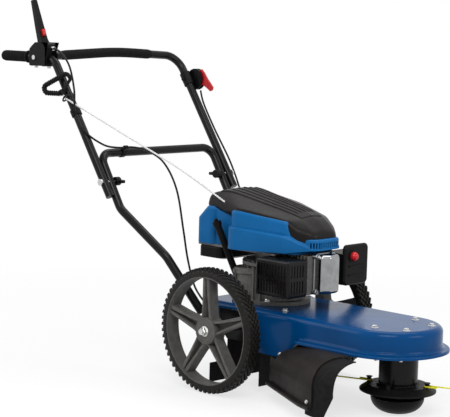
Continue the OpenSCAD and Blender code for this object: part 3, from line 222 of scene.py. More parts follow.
CABLE_BLACK = finish(
    "cable_black",
    (0.004, 0.004, 0.004), (0.008, 0.008, 0.008), 80, (0.36, 0.46), 0.08, 1500, shine=0.12,
)
ROPE_WHITE = braid("rope_white", (0.46, 0.46, 0.44), (0.82, 0.82, 0.80), 4, 1500)


# Points and lines


def spots(*points):
    """Points in space."""
    return [Vector(p) for p in points]


def flat(points):
    """Points in a plane."""
    return [Vector((x, y, 0)) for x, y in points]


def polar(r, a, z=0, x=0, y=0):
    """A point at a radius and an angle from a centre, at a height."""
    return Vector((x + r * math.cos(a), y + r * math.sin(a), z))


def ring(r, z, count, x=0, y=0):
    """Points round a circle."""
    return [polar(r, 2 * math.pi * k / count, z, x, y) for k in range(count)]


def quarter(x, y, r, first, count):
    """Points along a quarter of a circle."""
    return [polar(r, math.radians(first + 90 * k / (count - 1)), 0, x, y) for k in range(count)]


def bend_steps(count, first=0):
    """Cosines and sines along a quarter turn."""
    turns = [math.pi / 2 * k / count for k in range(first, count + 1)]
    return [(math.cos(a), math.sin(a)) for a in turns]


def raised(line, z):
    """A flat line at a height."""
    return [p + UP * z for p in line]


def eased(points, steps):
    """A smooth line through the points."""
    last = len(points) - 1
    line = []
    for i in range(last):
        a, b = points[max(i - 1, 0)], points[i]
        c, d = points[i + 1], points[min(i + 2, last)]
        slope = c - a
        curve = 2 * a - 5 * b + 4 * c - d
        twist = 3 * b - a - 3 * c + d
        for k in range(steps):
            t = k / steps
            line.append(0.5 * (2 * b + slope * t + curve * t * t + twist * t**3))
    line.append(points[last])
    return line


def rounded(points, radii, step=6):
    """A line of straights with a round bend of each radius at the inner points."""
    line = [points[0]]
    for i, r in enumerate(radii, 1):
        before = (points[i] - points[i - 1]).normalized()
        after = (points[i + 1] - points[i]).normalized()
        turn = before.angle(after)
        start = points[i] - r * math.tan(turn / 2) * before
        inward = (after - after.dot(before) * before).normalized()
        middle = start + r * inward
        count = max(2, int(math.degrees(turn) / step) + 1)
        for k in range(count + 1):
            a = turn * k / count
            line.append(middle - r * math.cos(a) * inward + r * math.sin(a) * before)
    line.append(points[-1])
    return line


def finer(line, parts=None):
    """The same line with so many parts to a stretch, or one for each millimetre."""
    more = [line[0]]
    for a, b in zip(line, line[1:]):
        count = parts or max(1, round((b - a).length))
        more += [a.lerp(b, k / count) for k in range(1, count + 1)]
    return more


def carried(path):
    """The headings along a line, and a side direction that turns as little as it can."""
    last = len(path) - 1
    ahead = [(path[min(i + 1, last)] - path[max(i - 1, 0)]).normalized() for i in range(last + 1)]
    side = ahead[0].cross(Vector((0.3, 1, 0.2))).normalized()
    sides = []
    for heading in ahead:
        side = (side - side.dot(heading) * heading).normalized()
        sides.append(side)
    return ahead, sides


def puck(x, y, r, low, high, fillet, sides=64, steps=8):
    """The points of a round disc with a rounded top edge."""
    points = ring(r, low, sides, x, y)
    for c, s in bend_steps(steps):
        points += ring(r - fillet + fillet * c, high - fillet + fillet * s, sides, x, y)
    return points


def ball(x, y, z, r, rings=18, sides=36):
    """The points of a ball."""
    points = []
    for i in range(rings + 1):
        lean = math.pi * i / rings
        points += ring(r * math.sin(lean), z + r * math.cos(lean), sides, x, y)
    return points


def both(maker, x, y, *rest):
    """The same points on both sides of the middle plane."""
    return maker(x, y, *rest) + maker(x, -y, *rest)


# Shapes


def ring_grid(bm, rings, closed=True, cap=True):
    """A skin over rings of points, with the ends closed."""
    rows = [[bm.verts.new(p) for p in points] for points in rings]
    across = len(rows[0])
    for a, b in zip(rows, rows[1:]):
        for k in range(across if closed else across - 1):
            n = (k + 1) % across
            bm.faces.new((a[k], a[n], b[n], b[k]))
    if cap and closed:
        bm.faces.new(list(reversed(rows[0])))
        bm.faces.new(rows[-1])
    return rows


def sheet(lines):
    """An open skin over lines of points."""
    bm = bmesh.new()
    ring_grid(bm, lines, closed=False)
    return bm


def tube(path, radius, sides=20, bm=None):
    """A round bar along a line, with a map that runs round and along it."""
    bm = bm or bmesh.new()
    chart = bm.loops.layers.uv.verify()
    ahead, side = carried(path)
    size = radius if callable(radius) else lambda share: radius
    far = [0]
    for a, b in zip(path, path[1:]):
        far.append(far[-1] + (b - a).length)
    rings = []
    for i, p in enumerate(path):
        r = size(far[i] / far[-1])
        other = ahead[i].cross(side[i])
        turns = [2 * math.pi * k / sides for k in range(sides)]
        rings.append([p + r * (math.cos(t) * side[i] + math.sin(t) * other) for t in turns])
    first = len(bm.faces)
    ring_grid(bm, rings)
    bm.faces.ensure_lookup_table()
    for i in range(len(path) - 1):
        for k in range(sides):
            face = bm.faces[first + i * sides + k]
            corners = ((k, i), (k + 1, i), (k + 1, i + 1), (k, i + 1))
            for loop, (u, v) in zip(face.loops, corners):
                loop[chart].uv = (u / sides, far[v] * MM)
    return bm


def lathe(profile, steps=96):
    """A closed profile of radius and height turned about the upright axis, no nearer than CORE."""
    bm = bmesh.new()
    rows = []
    for s in range(steps):
        a = 2 * math.pi * s / steps
        rows.append([bm.verts.new(polar(r, a, h)) for r, h in profile])
    for s in range(steps):
        a, b = rows[s], rows[(s + 1) % steps]
        for k in range(len(profile)):
            n = (k + 1) % len(profile)
            bm.faces.new((a[k], b[k], b[n], a[n]))
    return bm


def plate(outline, y, depth):
    """An outline seen from the side, given a depth from a place across the machine."""
    bm = bmesh.new()
    ring_grid(bm, [[Vector((x, y + d, z)) for x, z in outline] for d in (0, depth)])
    return bm


def block(low, high):
    """A box between two corners."""
    bm = bmesh.new()
    made = bmesh.ops.create_cube(bm, size=1)
    bmesh.ops.scale(bm, vec=Vector(high) - Vector(low), verts=made["verts"])
    bmesh.ops.translate(bm, vec=(Vector(high) + Vector(low)) / 2, verts=made["verts"])
    return bm


def stretched(points):
    """The tight skin round a set of points, with its flats joined up."""
    near, level = 0.01, math.radians(0.4)
    bm = bmesh.new()
    for p in points:
        bm.verts.new(p)
    bmesh.ops.remove_doubles(bm, verts=bm.verts, dist=near)
    made = bmesh.ops.convex_hull(bm, input=bm.verts)
    inside = [g for g in made["geom_interior"] + made["geom_unused"] if isinstance(g, bmesh.types.BMVert)]
    bmesh.ops.delete(bm, geom=list(set(inside)), context="VERTS")
    bmesh.ops.dissolve_limit(bm, angle_limit=level, verts=bm.verts, edges=bm.edges)
    return bm


def discs(*rows):
    """The tight skin round discs that stand in pairs, one on each side."""
    points = []
    for row in rows:
        points += both(puck, *row)
    return stretched(points)


def turned(bm, turn):
    """The same shape, turned or moved."""
    bmesh.ops.transform(bm, matrix=turn, verts=bm.verts)
    return bm


def moved(x, y, z):
    """To a place."""
    return Matrix.Translation(Vector((x, y, z)))


def forward(x, y, z):
    """To a place, with what stood up now pointing forward."""
    return moved(x, y, z) @ Matrix(((0, 0, 1, 0), (0, 1, 0, 0), (-1, 0, 0, 0), (0, 0, 0, 1)))


def drop(obj):
    """Takes a working object away."""
    mesh = obj.data
    bpy.data.objects.remove(obj)
    if mesh.users == 0:
        bpy.data.meshes.remove(mesh)


def mesh_of(name, bm):
    """A shape as a mesh; the shape goes."""
    mesh = bpy.data.meshes.new(name)
    bm.to_mesh(mesh)
    bm.free()
    return mesh


def placed(name, data):
    """A new object in the scene."""
    made = bpy.data.objects.new(name, data)
    bpy.context.scene.collection.objects.link(made)
    return made


def painted(mesh, material):
    """Gives a mesh one finish."""
    mesh.materials.clear()
    mesh.materials.append(material)


def loose(name, bm):
    """A working object in millimetres."""
    bmesh.ops.recalc_face_normals(bm, faces=bm.faces)
    return placed(name, mesh_of(name, bm))


def settled(obj):
    """The object's shape with its modifiers worked in, as a new shape; the object goes."""
    bpy.context.view_layer.update()
    graph = bpy.context.evaluated_depsgraph_get()
    mesh = bpy.data.meshes.new_from_object(obj.evaluated_get(graph))
    bm = bmesh.new()
    bm.from_mesh(mesh)
    bpy.data.meshes.remove(mesh)
    drop(obj)
    return bm


def modified(obj, kind, **settings):
    """Puts a modifier on an object."""
    step = obj.modifiers.new(kind.lower(), kind)
    for name, value in settings.items():
        setattr(step, name, value)
    return step


def worked(first, others, way):
    """One shape joined to, or cut by, others."""
    base = loose("work", first)
    tools = [loose("tool", other) for other in others]
    for tool in tools:
        modified(base, "BOOLEAN", operation=way, solver="EXACT", object=tool)
    made = settled(base)
    for tool in tools:
        drop(tool)
    return made


def thickened(bm, depth, offset=-1):
    """A skin given a wall."""
    obj = loose("skin_work", bm)
    modified(obj, "SOLIDIFY", thickness=depth, offset=offset)
    return settled(obj)


def smoothed(bm, cell, rounds):
    """The same form with its flats run into one another."""
    obj = loose("smooth_work", bm)
    modified(obj, "REMESH", mode="VOXEL", voxel_size=cell)
    modified(obj, "SMOOTH", factor=0.5, iterations=rounds)
    return settled(obj)


def joined(*shapes):
    """Several shapes as one, side by side."""
    base = bmesh.new()
    for shape in shapes:
        mesh = mesh_of("part", shape)
        base.from_mesh(mesh)
        bpy.data.meshes.remove(mesh)
    return base


# Pieces


def piece(
    name, bm, material, stands_for=(), body="chassis", origin=AXLE, crease=32, edge=0, wall=0, across=None,
):
    """A finished piece at its place, which moves with a body and stands for solids."""
    near, eased_from = 0.001, math.radians(28)
    bmesh.ops.remove_doubles(bm, verts=bm.verts, dist=near)
    obj = loose(name + "_work", bm)
    if wall:
        modified(obj, "SOLIDIFY", thickness=wall, offset=-1)
    if edge:
        soft = modified(obj, "BEVEL", width=edge, segments=2, limit_method="ANGLE")
        soft.angle_limit = eased_from
        soft.use_clamp_overlap = False
    made = settled(obj)
    turned(made, Matrix.Scale(MM, 4) @ Matrix.Translation(origin))
    mesh = mesh_of(name, made)
    painted(mesh, material)
    mesh.polygons.foreach_set("use_smooth", [True] * len(mesh.polygons))
    mesh.polygons.foreach_set("material_index", [0] * len(mesh.polygons))
    mesh.set_sharp_from_angle(angle=math.radians(crease))
    done = placed(name, mesh)
    modified(done, "WEIGHTED_NORMAL", keep_sharp=True)
    if across:
        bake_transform(done)
    else:
        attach(done, body)
    if stands_for:
        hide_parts(*stands_for)
    return done


def softened(node, material, edge, body="chassis"):
    """A solid's own shape with its flats joined up and its edges eased."""
    near, level = 0.002, math.radians(0.3)
    bm = bmesh.new()
    bm.from_mesh(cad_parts[node].data)
    turned(bm, Matrix.Scale(1 / MM, 4))
    bmesh.ops.remove_doubles(bm, verts=bm.verts, dist=near)
    bmesh.ops.dissolve_limit(bm, angle_limit=level, verts=bm.verts, edges=bm.edges)
    piece(node + "_soft", bm, material, (node,), body, GROUND, edge=edge)


def span(first, second, start, end):
    """The two bodies that a cord joins, and where its bend starts and ends."""
    return first, second, (start + AXLE) * MM, (end + AXLE) * MM


# Repeats


def tool_tree(name, *wanted):
    """An empty tree with a tool, its finish and further inputs."""
    tree = bpy.data.node_groups.new(name, "GeometryNodeTree")
    for label, kind in (*wanted, ("Tool", "Object"), ("Finish", "Material")):
        tree.interface.new_socket(label, in_out="INPUT", socket_type="NodeSocket" + kind)
    tree.interface.new_socket("Shape", in_out="OUTPUT", socket_type="NodeSocketGeometry")
    return tree, add_node(tree, "NodeGroupInput")


def spread(given, points, turn=None):
    """Puts the tool on the points, as one plain mesh with its finish, which ends the tree."""
    tree = given.id_data
    tool = add_node(tree, "GeometryNodeObjectInfo")
    put = add_node(tree, "GeometryNodeInstanceOnPoints")
    real = add_node(tree, "GeometryNodeRealizeInstances")
    paint = add_node(tree, "GeometryNodeSetMaterial")
    wire(given, "Tool", tool, "Object")
    wire(*points, put, "Points")
    wire(tool, "Geometry", put, "Instance")
    if turn:
        wire(*turn, put, "Rotation")
    wire(put, "Instances", real, "Geometry")
    wire(real, "Geometry", paint, "Geometry")
    wire(given, "Finish", paint, "Material")
    wire(paint, "Geometry", add_node(tree, "NodeGroupOutput"), "Shape")
    return tree


def ring_tree():
    """A tool repeated round a circle, facing outwards."""
    tree, given = tool_tree("ring_of_tools", ("Count", "Int"), ("Radius", "Float"))
    circle = add_node(tree, "GeometryNodeMeshCircle")
    index = add_node(tree, "GeometryNodeInputIndex")
    share = add_node(tree, "ShaderNodeMath", operation="DIVIDE")
    whole = add_node(tree, "ShaderNodeMath", {1: 2 * math.pi}, operation="MULTIPLY")
    turn = add_node(tree, "ShaderNodeCombineXYZ")
    wire(given, "Count", circle, "Vertices")
    wire(given, "Radius", circle, "Radius")
    wire(index, "Index", share, 0)
    wire(given, "Count", share, 1)
    wire(share, "Value", whole, 0)
    wire(whole, "Value", turn, "Z")
    return spread(given, (circle, "Mesh"), (turn, "Vector"))


def row_tree():
    """A tool repeated along a straight line."""
    tree, given = tool_tree("row_of_tools", ("Count", "Int"), ("Start", "Vector"), ("Step", "Vector"))
    line = add_node(tree, "GeometryNodeMeshLine")
    wire(given, "Count", line, "Count")
    wire(given, "Start", line, "Start Location")
    wire(given, "Step", line, "Offset")
    return spread(given, (line, "Mesh"))


def place_tree():
    """A tool at every point of a mesh, standing along the point's aim."""
    tree, given = tool_tree("tools_at_places", ("Places", "Geometry"))
    aim = add_node(tree, "GeometryNodeInputNamedAttribute", {"Name": "aim"}, data_type="FLOAT_VECTOR")
    stand = add_node(tree, "FunctionNodeAlignRotationToVector", axis="Z")
    wire(aim, "Attribute", stand, "Vector")
    return spread(given, (given, "Places"), (stand, "Rotation"))


RING, ROW, PLACES = ring_tree(), row_tree(), place_tree()


def repeated(tree, tool, material, carrier=None, **sizes):
    """A tree's result as a plain shape."""
    tool_obj = loose("tool", tool)
    carrier = carrier or loose("carrier", bmesh.new())
    step = modified(carrier, "NODES", node_group=tree)
    values = {"Tool": tool_obj, "Finish": material, **sizes}
    for item in tree.interface.items_tree:
        if item.in_out == "INPUT" and item.name in values:
            step[item.identifier] = values[item.name]
    made = settled(carrier)
    drop(tool_obj)
    return made


def at_places(tool, material, places):
    """A tool at each place, given as point and aim."""
    bm = bmesh.new()
    for point, aim in places:
        bm.verts.new(point)
    carrier = loose("carrier", bm)
    way = carrier.data.attributes.new("aim", "FLOAT_VECTOR", "POINT")
    for i, (point, aim) in enumerate(places):
        way.data[i].vector = aim
    return repeated(PLACES, tool, material, carrier)


def hex_head(radius, height, washer=0):
    """A bolt head with eased corners, on a washer where it has one."""
    lift = 1.2 if washer else 0
    bm = bmesh.new()
    levels = ((1, lift), (1, lift + height * 0.8), (0.86, lift + height))
    ring_grid(bm, [ring(radius * share, z, 6) for share, z in levels])
    if washer:
        ring_grid(bm, [ring(r, z, 24) for r, z in ((washer, 0), (washer, 0.9), (washer - 0.4, 1.3))])
    return bm


# Wheels

WHEEL_FACING = {-1: "right", 1: "left"}


def mirrored(half):
    """A profile of radius and height, and its mirror image below."""
    return half + [(r, -h) for r, h in reversed(half)]


def on_wheel(side):
    """From a wheel's own axes, with its outer face up, to its place."""
    turn = Matrix(((1, 0, 0), (0, 0, side), (0, 1, 0))).to_4x4()
    return moved(-WHEELBASE, side * TRACK_HALF, WHEEL_R) @ turn


def lug_rows(crown):
    """The tyre's knobs: three leaning rows on each half."""
    root, tip, taper, phase_shift = -6, 4.0, 0.80, 0.25
    knobs = []
    rows = (
        (3.6, 6.2, 12.0, 24, 0.0, 0.2),
        (11.0, 6.4, 12.0, 24, 0.5, 1.0),
        (18.2, 6.6, 11.0, 18, 0.0, 3.0),
    )
    for height, wide, long, lean, phase, sink in rows:
        for way in (1, -1):
            knob = block((root, -long / 2, -wide / 2), (tip, long / 2, wide / 2))
            for v in knob.verts:
                if v.co.x > 0:
                    v.co.y *= taper
                    v.co.z *= taper
            turned(knob, Matrix.Rotation(math.radians(lean * way), 4, "X"))
            made = repeated(RING, knob, TREAD_RUBBER, Count=LUGS, Radius=crown - sink)
            turn = Matrix.Rotation(2 * math.pi / LUGS * (phase + phase_shift * way), 4, "Z")
            knobs.append(turned(made, moved(0, 0, height * way) @ turn))
    return knobs


def spoke_arms():
    """The rim's spokes, each with a groove that narrows outwards."""
    low, high, deep, soft = -17.5, 16.5, 19, 1.5
    inner, outer = ((HUB_R - 6, 40, 26), (HUB_R + 12, 34, 20)), ((RIM_R - 5, 25, 2.4), (RIM_R - 2, 25, 2))
    widths = (*inner, (100, 28, 10), *outer)
    arms = []
    for k in range(SPOKES):
        rings = []
        for r, wide, groove in widths:
            w, g = wide / 2, groove / 2
            half = [(w, low), (w, high - soft), (w - soft, high), (g + 0.8, high), (g * 0.75, high - deep)]
            section = half + [(-y, z) for y, z in reversed(half)]
            rings.append([Vector((r, y, z)) for y, z in section])
        arm = bmesh.new()
        ring_grid(arm, rings)
        arms.append(turned(arm, Matrix.Rotation(math.radians(SPOKE_TURN + 360 * k / SPOKES), 4, "Z")))
    return arms


def add_wheel(side):
    """A knobbly tyre on a rim of grooved spokes."""
    name = WHEEL_FACING[side]
    crown = WHEEL_R - 4
    half = [
        (RIM_R, TYRE_HALF), (157, TYRE_HALF), (159, 22.6), (164, 22.8),
        (168.5, 20.8), (172, 16.2), (173.6, 9), (crown, 3),
    ]
    tyre = turned(joined(lathe(mirrored(half), 132), *lug_rows(crown)), on_wheel(side))
    piece(name + "_tread", tyre, TREAD_RUBBER, (name + "_tyre",), name + "_wheel", GROUND, crease=40)
    half = [
        (RIM_R - 5, 10), (RIM_R - 4.2, 17), (RIM_R - 3.4, 22.7),
        (RIM_R - 2.6, TYRE_HALF), (RIM_R - 0.8, TYRE_HALF), (RIM_R, 22.7),
    ]
    barrel = lathe(mirrored(half), 132)
    bore, face = AXLE_R + 0.1, 21.4
    hub = lathe(
        [
            (bore, -23.4), (HUB_R - 1, -23.4), (HUB_R, -22.4), (HUB_R, 19.2), (HUB_R - 1.8, 21.2),
            (HUB_R - 4.6, face), (HUB_R - 5.4, face - 1), (HUB_R - 7.4, face - 1), (HUB_R - 8.2, face),
            (bore, face),
        ],
        72,
    )
    rim = turned(worked(barrel, [hub, *spoke_arms()], "UNION"), on_wheel(side))
    piece(name + "_spoked_rim", rim, RIM_GREY, (name + "_rim",), name + "_wheel", GROUND, crease=30)


# Deck


def deck_outline(out, tail=True):
    """The deck's outline moved outwards by out, with its tail or open behind."""
    centre, inner = DECK_FRONT - NOSE_R, DECK_HALF - NOSE_R
    line = quarter(centre, -inner, NOSE_R + out, -90, 31) + quarter(centre, inner, NOSE_R + out, 0, 31)
    if tail:
        back, wide = DECK_REAR + TAIL_R, DECK_HALF - TAIL_R
        line += quarter(back, wide, TAIL_R + out, 90, 13)
        return line + quarter(back, -wide, TAIL_R + out, 180, 13)
    half = DECK_HALF + out
    return [Vector((FLANGE_START, -half, 0)), *line, Vector((FLANGE_START, half, 0))]


def cheek_rise():
    """The cheek's lower front edge, where it rises over the guard, as seen from the side."""
    points = (
        (CHEEK_FRONT - 18, CHEEK_LOW), (CHEEK_FRONT, CHEEK_LOW + 6), (CHEEK_FRONT + 10, CHEEK_LOW + 22),
        (CHEEK_FRONT + 18, CHEEK_LOW + 42), (FLANGE_START, FLANGE_TOP - SHEET),
    )
    return eased(flat(points), 6)


def add_deck():
    """The pressed pan, its turned-out flange and the cheeks behind it."""
    under, shoulder = FLANGE_TOP - SHEET, DECK_TOP - DECK_FILLET
    levels = [(0, under), (0, FLANGE_TOP + 14), (0, shoulder)]
    levels += [(DECK_FILLET * (c - 1), shoulder + DECK_FILLET * s) for c, s in bend_steps(10, 1)]
    pan = bmesh.new()
    rows = ring_grid(pan, [raised(deck_outline(out), z) for out, z in levels], cap=False)
    pan.faces.new(rows[-1])
    bend, roll = 9, 4
    section = [(0.2 - SHEET, FLANGE_TOP + 12), (0, FLANGE_TOP + bend)]
    section += [(bend - bend * c, FLANGE_TOP + bend - bend * s) for c, s in bend_steps(6, 1)]
    section += [(FLANGE_W - roll + roll * s, FLANGE_TOP - roll + roll * c) for c, s in bend_steps(5)]
    section.append((FLANGE_W, FLANGE_TOP - LIP_DROP))
    flange = sheet([raised(deck_outline(out, False), z) for out, z in section])
    piece("deck_pressing", joined(pan, flange), DECK_BLUE, ("deck",), origin=GROUND, wall=SHEET, crease=40)
    rise = cheek_rise()
    front = [(p.x, p.y) for p in rise]
    outline = [(FLANGE_REAR, CHEEK_LOW), *front, (FLANGE_START, under), (FLANGE_REAR, under)]
    for side in (1, -1):
        cheek = plate(outline, DECK_HALF - SHEET if side > 0 else -DECK_HALF, SHEET)
        lines = []
        for out, fall in ((-0.5, 0), (FLANGE_W - 3, 0), (FLANGE_W - 1, 0.6), (FLANGE_W, 2)):
            shift = Vector((0.7 * fall, 0, -fall))
            lines.append([Vector((p.x, side * (DECK_HALF + out), p.y)) + shift for p in rise])
        brow = thickened(sheet(lines), SHEET, side)
        piece("deck_cheek_" + WHEEL_FACING[side], joined(cheek, brow), DECK_BLUE, origin=GROUND, crease=40)


# Guard


def guard_line(out):
    """The guard's section, from its web over the hood and down the wall."""
    return flat((
        (GUARD_R - 96, GUARD_BASE + out), (GUARD_R - 80, GUARD_BASE + out),
        (GUARD_R - 50 + 0.3 * out, GUARD_BASE - 5 + out),
        (GUARD_R - 22 + 0.8 * out, GUARD_BASE - 18 + 0.6 * out),
        (GUARD_R - 6 + out, GUARD_BASE - 40), (GUARD_R + out, GUARD_BASE - 66),
    ))


def swept(line, degrees):
    """A section turned to an angle about the spindle."""
    return [polar(p.x, math.radians(degrees), p.y) for p in line]


def add_guard():
    """The moulded guard and the rubber flap inside its front end."""
    web, bead, wall_z, face = 165, 8, 80, GUARD_R + GUARD_T
    toe = ((face, 47), (face + 1, 43), (face + 3.5, 39.8), (face + bead, GUARD_LOW))
    line = flat([(web, GUARD_BASE + GUARD_T)])
    line += eased(guard_line(GUARD_T) + flat(((face, wall_z), (face, 54))), 7) + flat(toe)
    turn = math.radians(GUARD_TURN)
    back = Vector((math.sin(turn), -math.cos(turn), 0)) * GUARD_BACK
    rows = []
    for k in range(13):
        rows.append([p + back * (1 - k / 12) for p in swept(line, GUARD_TURN)])
    for k in range(1, 9):
        rows.append(swept(line, GUARD_TURN + GUARD_ROUND * k / 8))
    front = [(p.x + 5, p.y - 4) for p in cheek_rise()]
    room = [(FLANGE_REAR, CHEEK_LOW - 1), *front, (FLANGE_REAR, FLANGE_TOP)]
    cutter = plate(room, -DECK_HALF - FLANGE_W - 1, FLANGE_W + SHEET + 2)
    skin = worked(thickened(sheet(rows), GUARD_T), [cutter], "DIFFERENCE")
    hem_r = 4.2
    hem = tube([row[-1] + UP * hem_r for row in rows], hem_r, 16)
    piece("guard_moulding", joined(skin, hem), GUARD_PLASTIC, ("side_guard",), origin=GROUND, crease=40)
    gap = -0.6
    face = GUARD_R + gap
    line = eased(guard_line(gap) + flat(((face, wall_z), (face, FLAP_LOW))), 7)
    flap = sheet([swept(line, FLAP_START + FLAP_SPAN * k / 24) for k in range(25)])
    slant, cut_x, cut_z = math.radians(FLAP_SLANT), -8, 48
    bmesh.ops.bisect_plane(
        flap, geom=flap.verts[:] + flap.edges[:] + flap.faces[:], plane_co=(cut_x, -GUARD_R, cut_z),
        plane_no=(math.cos(slant), 0, -math.sin(slant)), clear_outer=True,
    )
    piece("guard_rubber", flap, RUBBER, ("guard_flap",), origin=GROUND, wall=FLAP_T, crease=40)


# Engine


def add_shroud():
    """The blue engine shroud: a sloping block, a belt line, a slotted front and the tail behind."""
    base, top, band = 397, 508, 462
    nose_x, nose_y, slot_z = 184, 30, base + 20
    hood = discs(
        (-15, 112, 28, base, top, 10), (118, 70, 28, base, top - 18, 12), (142, 62, 28, base, top - 66, 10),
    )
    belt = discs(
        (-15, 112, 36, base, band, 8), (122, 76, 36, base + 4, band - 12, 8),
        (182, 36, 34, base + 14, base + 22, 4),
    )
    front = discs((nose_x, nose_y, 34, base + 14, band - 20, 6))
    tail = discs((-168, 98, 22, base, top - 32, 10), (-138, 98, 22, base, top - 2, 10))
    middle = discs((-140, 90, 18, base, top - 3, 6), (-20, 90, 18, base, top - 3, 6))
    body = worked(hood, [belt, front, tail, middle], "UNION")
    slot = block((0, -2, 0), (40, 2, 16))
    slots = [repeated(ROW, slot, SHROUD_BLUE, Count=9, Start=(202, -32, slot_z), Step=(0, 8, 0))]
    for side in (-1, 1):
        corner = moved(nose_x, nose_y * side, slot_z)
        for angle in (14, 28, 42, 56):
            bend = corner @ Matrix.Rotation(math.radians(angle * side), 4, "Z")
            slots.append(turned(block((18, -2, 0), (58, 2, 16)), bend))
    body = worked(body, slots, "DIFFERENCE")
    piece("shroud_shell", body, SHROUD_BLUE, ("shroud",))


def cover_spine():
    """The shoulder of the top cover from the rear to the front: how far along, how wide, how high."""
    rear, crest, nose = (-151, 71, 544), (-110, 62, 548), (184, 34, 468)
    between = ((-60, 56, 541), (-12, 53, 531), (44, 50, 521), (100, 46, 510), (146, 40, 496))
    return eased(spots(rear, crest, *between, nose), 4)


def add_top_cover():
    """The black cover on the shroud: a rounded back that falls to the front, with a raised, ribbed panel."""
    round_r, crowned, lift, lip_r, cell, rounds = 25, 4, 3.5, 8, 3, 50
    rib_r, rib_sink, end_sink, rib_spread, above = 4.6, 2, 3, 2.6, 700
    points = both(puck, -152, 76, 24, 502, 510, 4) + both(puck, -15, 110, 26, 501, 514, 6)
    points += both(puck, 118, 68, 26, 470, 493, 8) + both(puck, 154, 56, 28, 408, 470, 10)
    spine = cover_spine()

    def back(line, r, rise):
        balls = []
        for spot in line:
            balls += both(ball, spot.x, spot.y, spot.z + rise - r, r)
            balls += ball(spot.x, 0, spot.z + crowned + rise - r, r)
        return balls

    dome = smoothed(stretched(points + back(spine, round_r, 0)), cell, rounds)
    panel = stretched(back(spine[2:-4], lip_r, lift))
    finder = BVHTree.FromBMesh(panel)
    ribs = []
    for place in range(-2, 3):
        path = []
        for spot in spine[3:-5]:
            hit = finder.ray_cast(Vector((spot.x, spot.y * place / rib_spread, above)), -UP)[0]
            path.append(hit - UP * rib_sink)
        for end in (0, -1):
            path[end].z -= end_sink
        ribs.append(tube(path, rib_r, 16))
    piece("ribbed_cover", joined(dome, panel, *ribs), COVER_PLASTIC, ("top_cover",))


def add_tank():
    """The fuel tank under the shroud's tail, with its neck."""
    low, top, neck_x, neck_y, spout_z = 350, 390, -130, 150, 377
    tank = discs(
        (-164, 94, 21, low + 7, top, 6), (-114, 94, 20, low + 7, top, 6),
        (neck_x, 60, 20, low, low + 20, 2),
    )
    spout = tube(spots((neck_x, 80, spout_z), (neck_x, neck_y, spout_z)), 12, 32)
    neck = lathe([(CORE, 364), (13, 364), (15, 366), (15, 420), (CORE, 420)], 40)
    turned(neck, moved(neck_x, neck_y, 0))
    piece("tank_shell", joined(tank, spout, neck), BLACK_PLASTIC, ("fuel_tank",))


def add_rocker_cover():
    """The bright cover over the valves, with its four bolts."""
    half_w, half_h, corner, deep, post_h = 37, 58, 14, 46, 16
    middle = Vector((200, -8, 345))
    right, left, ridge = corner - half_w, half_w - corner, -9
    rim, crown = [], []
    for z in (corner - half_h, half_h - corner):
        for y in (right, left):
            rim += puck(z, y, corner, 0, 7, 2, 40, 4)
        for y, set_back in ((right, 11), (ridge, 0), (left, 4)):
            crown += puck(z, y, corner - 3, 0, deep - set_back, 9, 40, 8)
    corners = [(y, z) for y in (4 - half_w, half_w - 4) for z in (8 - half_h, half_h - 8)]
    posts = []
    for y, z in corners:
        post = lathe([(CORE, 0), (8, 0), (8, post_h - 1.5), (6.5, post_h), (CORE, post_h)], 32)
        posts.append(turned(post, moved(z, y, 0)))
    shell = turned(joined(stretched(rim), stretched(crown), *posts), forward(*middle))
    piece("valve_cover", shell, POLISHED, ("rocker_cover",), crease=30)
    places = [(middle + Vector((post_h, y, z)), Vector((1, 0, 0))) for y, z in corners]
    piece("valve_cover_bolts", at_places(hex_head(5, 5), ZINC, places), ZINC)


def add_primer():
    """The soft red bulb in the filter box."""
    r, base, neck = 12.9, -5.5, 4
    bulb = [(CORE, base), (r, base), (r, neck)]
    for k in range(1, 10):
        a = math.radians(10 * k)
        bulb.append((max(r * math.cos(a), CORE), neck + r * math.sin(a)))
    dome = turned(lathe(bulb, 48), forward(232, 91, 387))
    piece("primer_dome", dome, RED, ("primer_bulb",), "primer", crease=40)


def add_muffler_guard():
    """The black pressed guard over the muffler, with rows of slots."""
    low = Vector((82, -152, 284))
    size = Vector((124, 76, 104))
    tall, wide, through = 34, 5, 5
    shell = block((0, 0, 0), size)
    rounded_edges = [e for e in shell.edges if not all(abs(v.co.y - size.y) < 1 for v in e.verts)]
    bmesh.ops.bevel(shell, geom=rounded_edges, offset=7, segments=4, affect="EDGES", profile=0.5)
    back = [f for f in shell.faces if all(abs(v.co.y - size.y) < 0.5 for v in f.verts)]
    bmesh.ops.delete(shell, geom=back, context="FACES")
    shell = thickened(shell, 2)
    slots = []

    def cut(slot, count, start, step):
        slots.append(repeated(ROW, slot, BLACK_PAINT, Count=count, Start=start, Step=step))

    for z in (13, 57):
        cut(block((0, -through, 0), (wide, through, tall)), 10, (11, 0, z), (10.8, 0, 0))
        cut(block((-through, 0, 0), (through, wide, tall)), 5, (size.x, 12, z), (0, 11.5, 0))
    for y in (16, 40):
        cut(block((0, 0, -through), (15, 7, through)), 4, (14, y, size.z), (26, 0, 0))
    shell = turned(worked(shell, slots, "DIFFERENCE"), Matrix.Translation(low))
    piece("muffler_cage", shell, BLACK_PAINT, ("muffler_guard",), crease=30)


# Handle and cords


def low_leg(side):
    """The lower leg's points from the deck up to the crossbar."""
    top = 635
    return spots(
        (-118, side * (DECK_HALF + TUBE_R), 200), (-222, side * 205, 356), (-392, side * LOW_Y, 480),
        (leg_x(top), side * LOW_Y, top),
    )


def swell(share):
    """The foam's radius along the bar, with rounded ends."""
    foam_r, end_drop, end_share = 15, 1.8, 0.012
    edge = min(1, min(share, 1 - share) / end_share)
    return foam_r - end_drop * (1 - math.sqrt(max(0, 1 - (1 - edge) ** 2)))


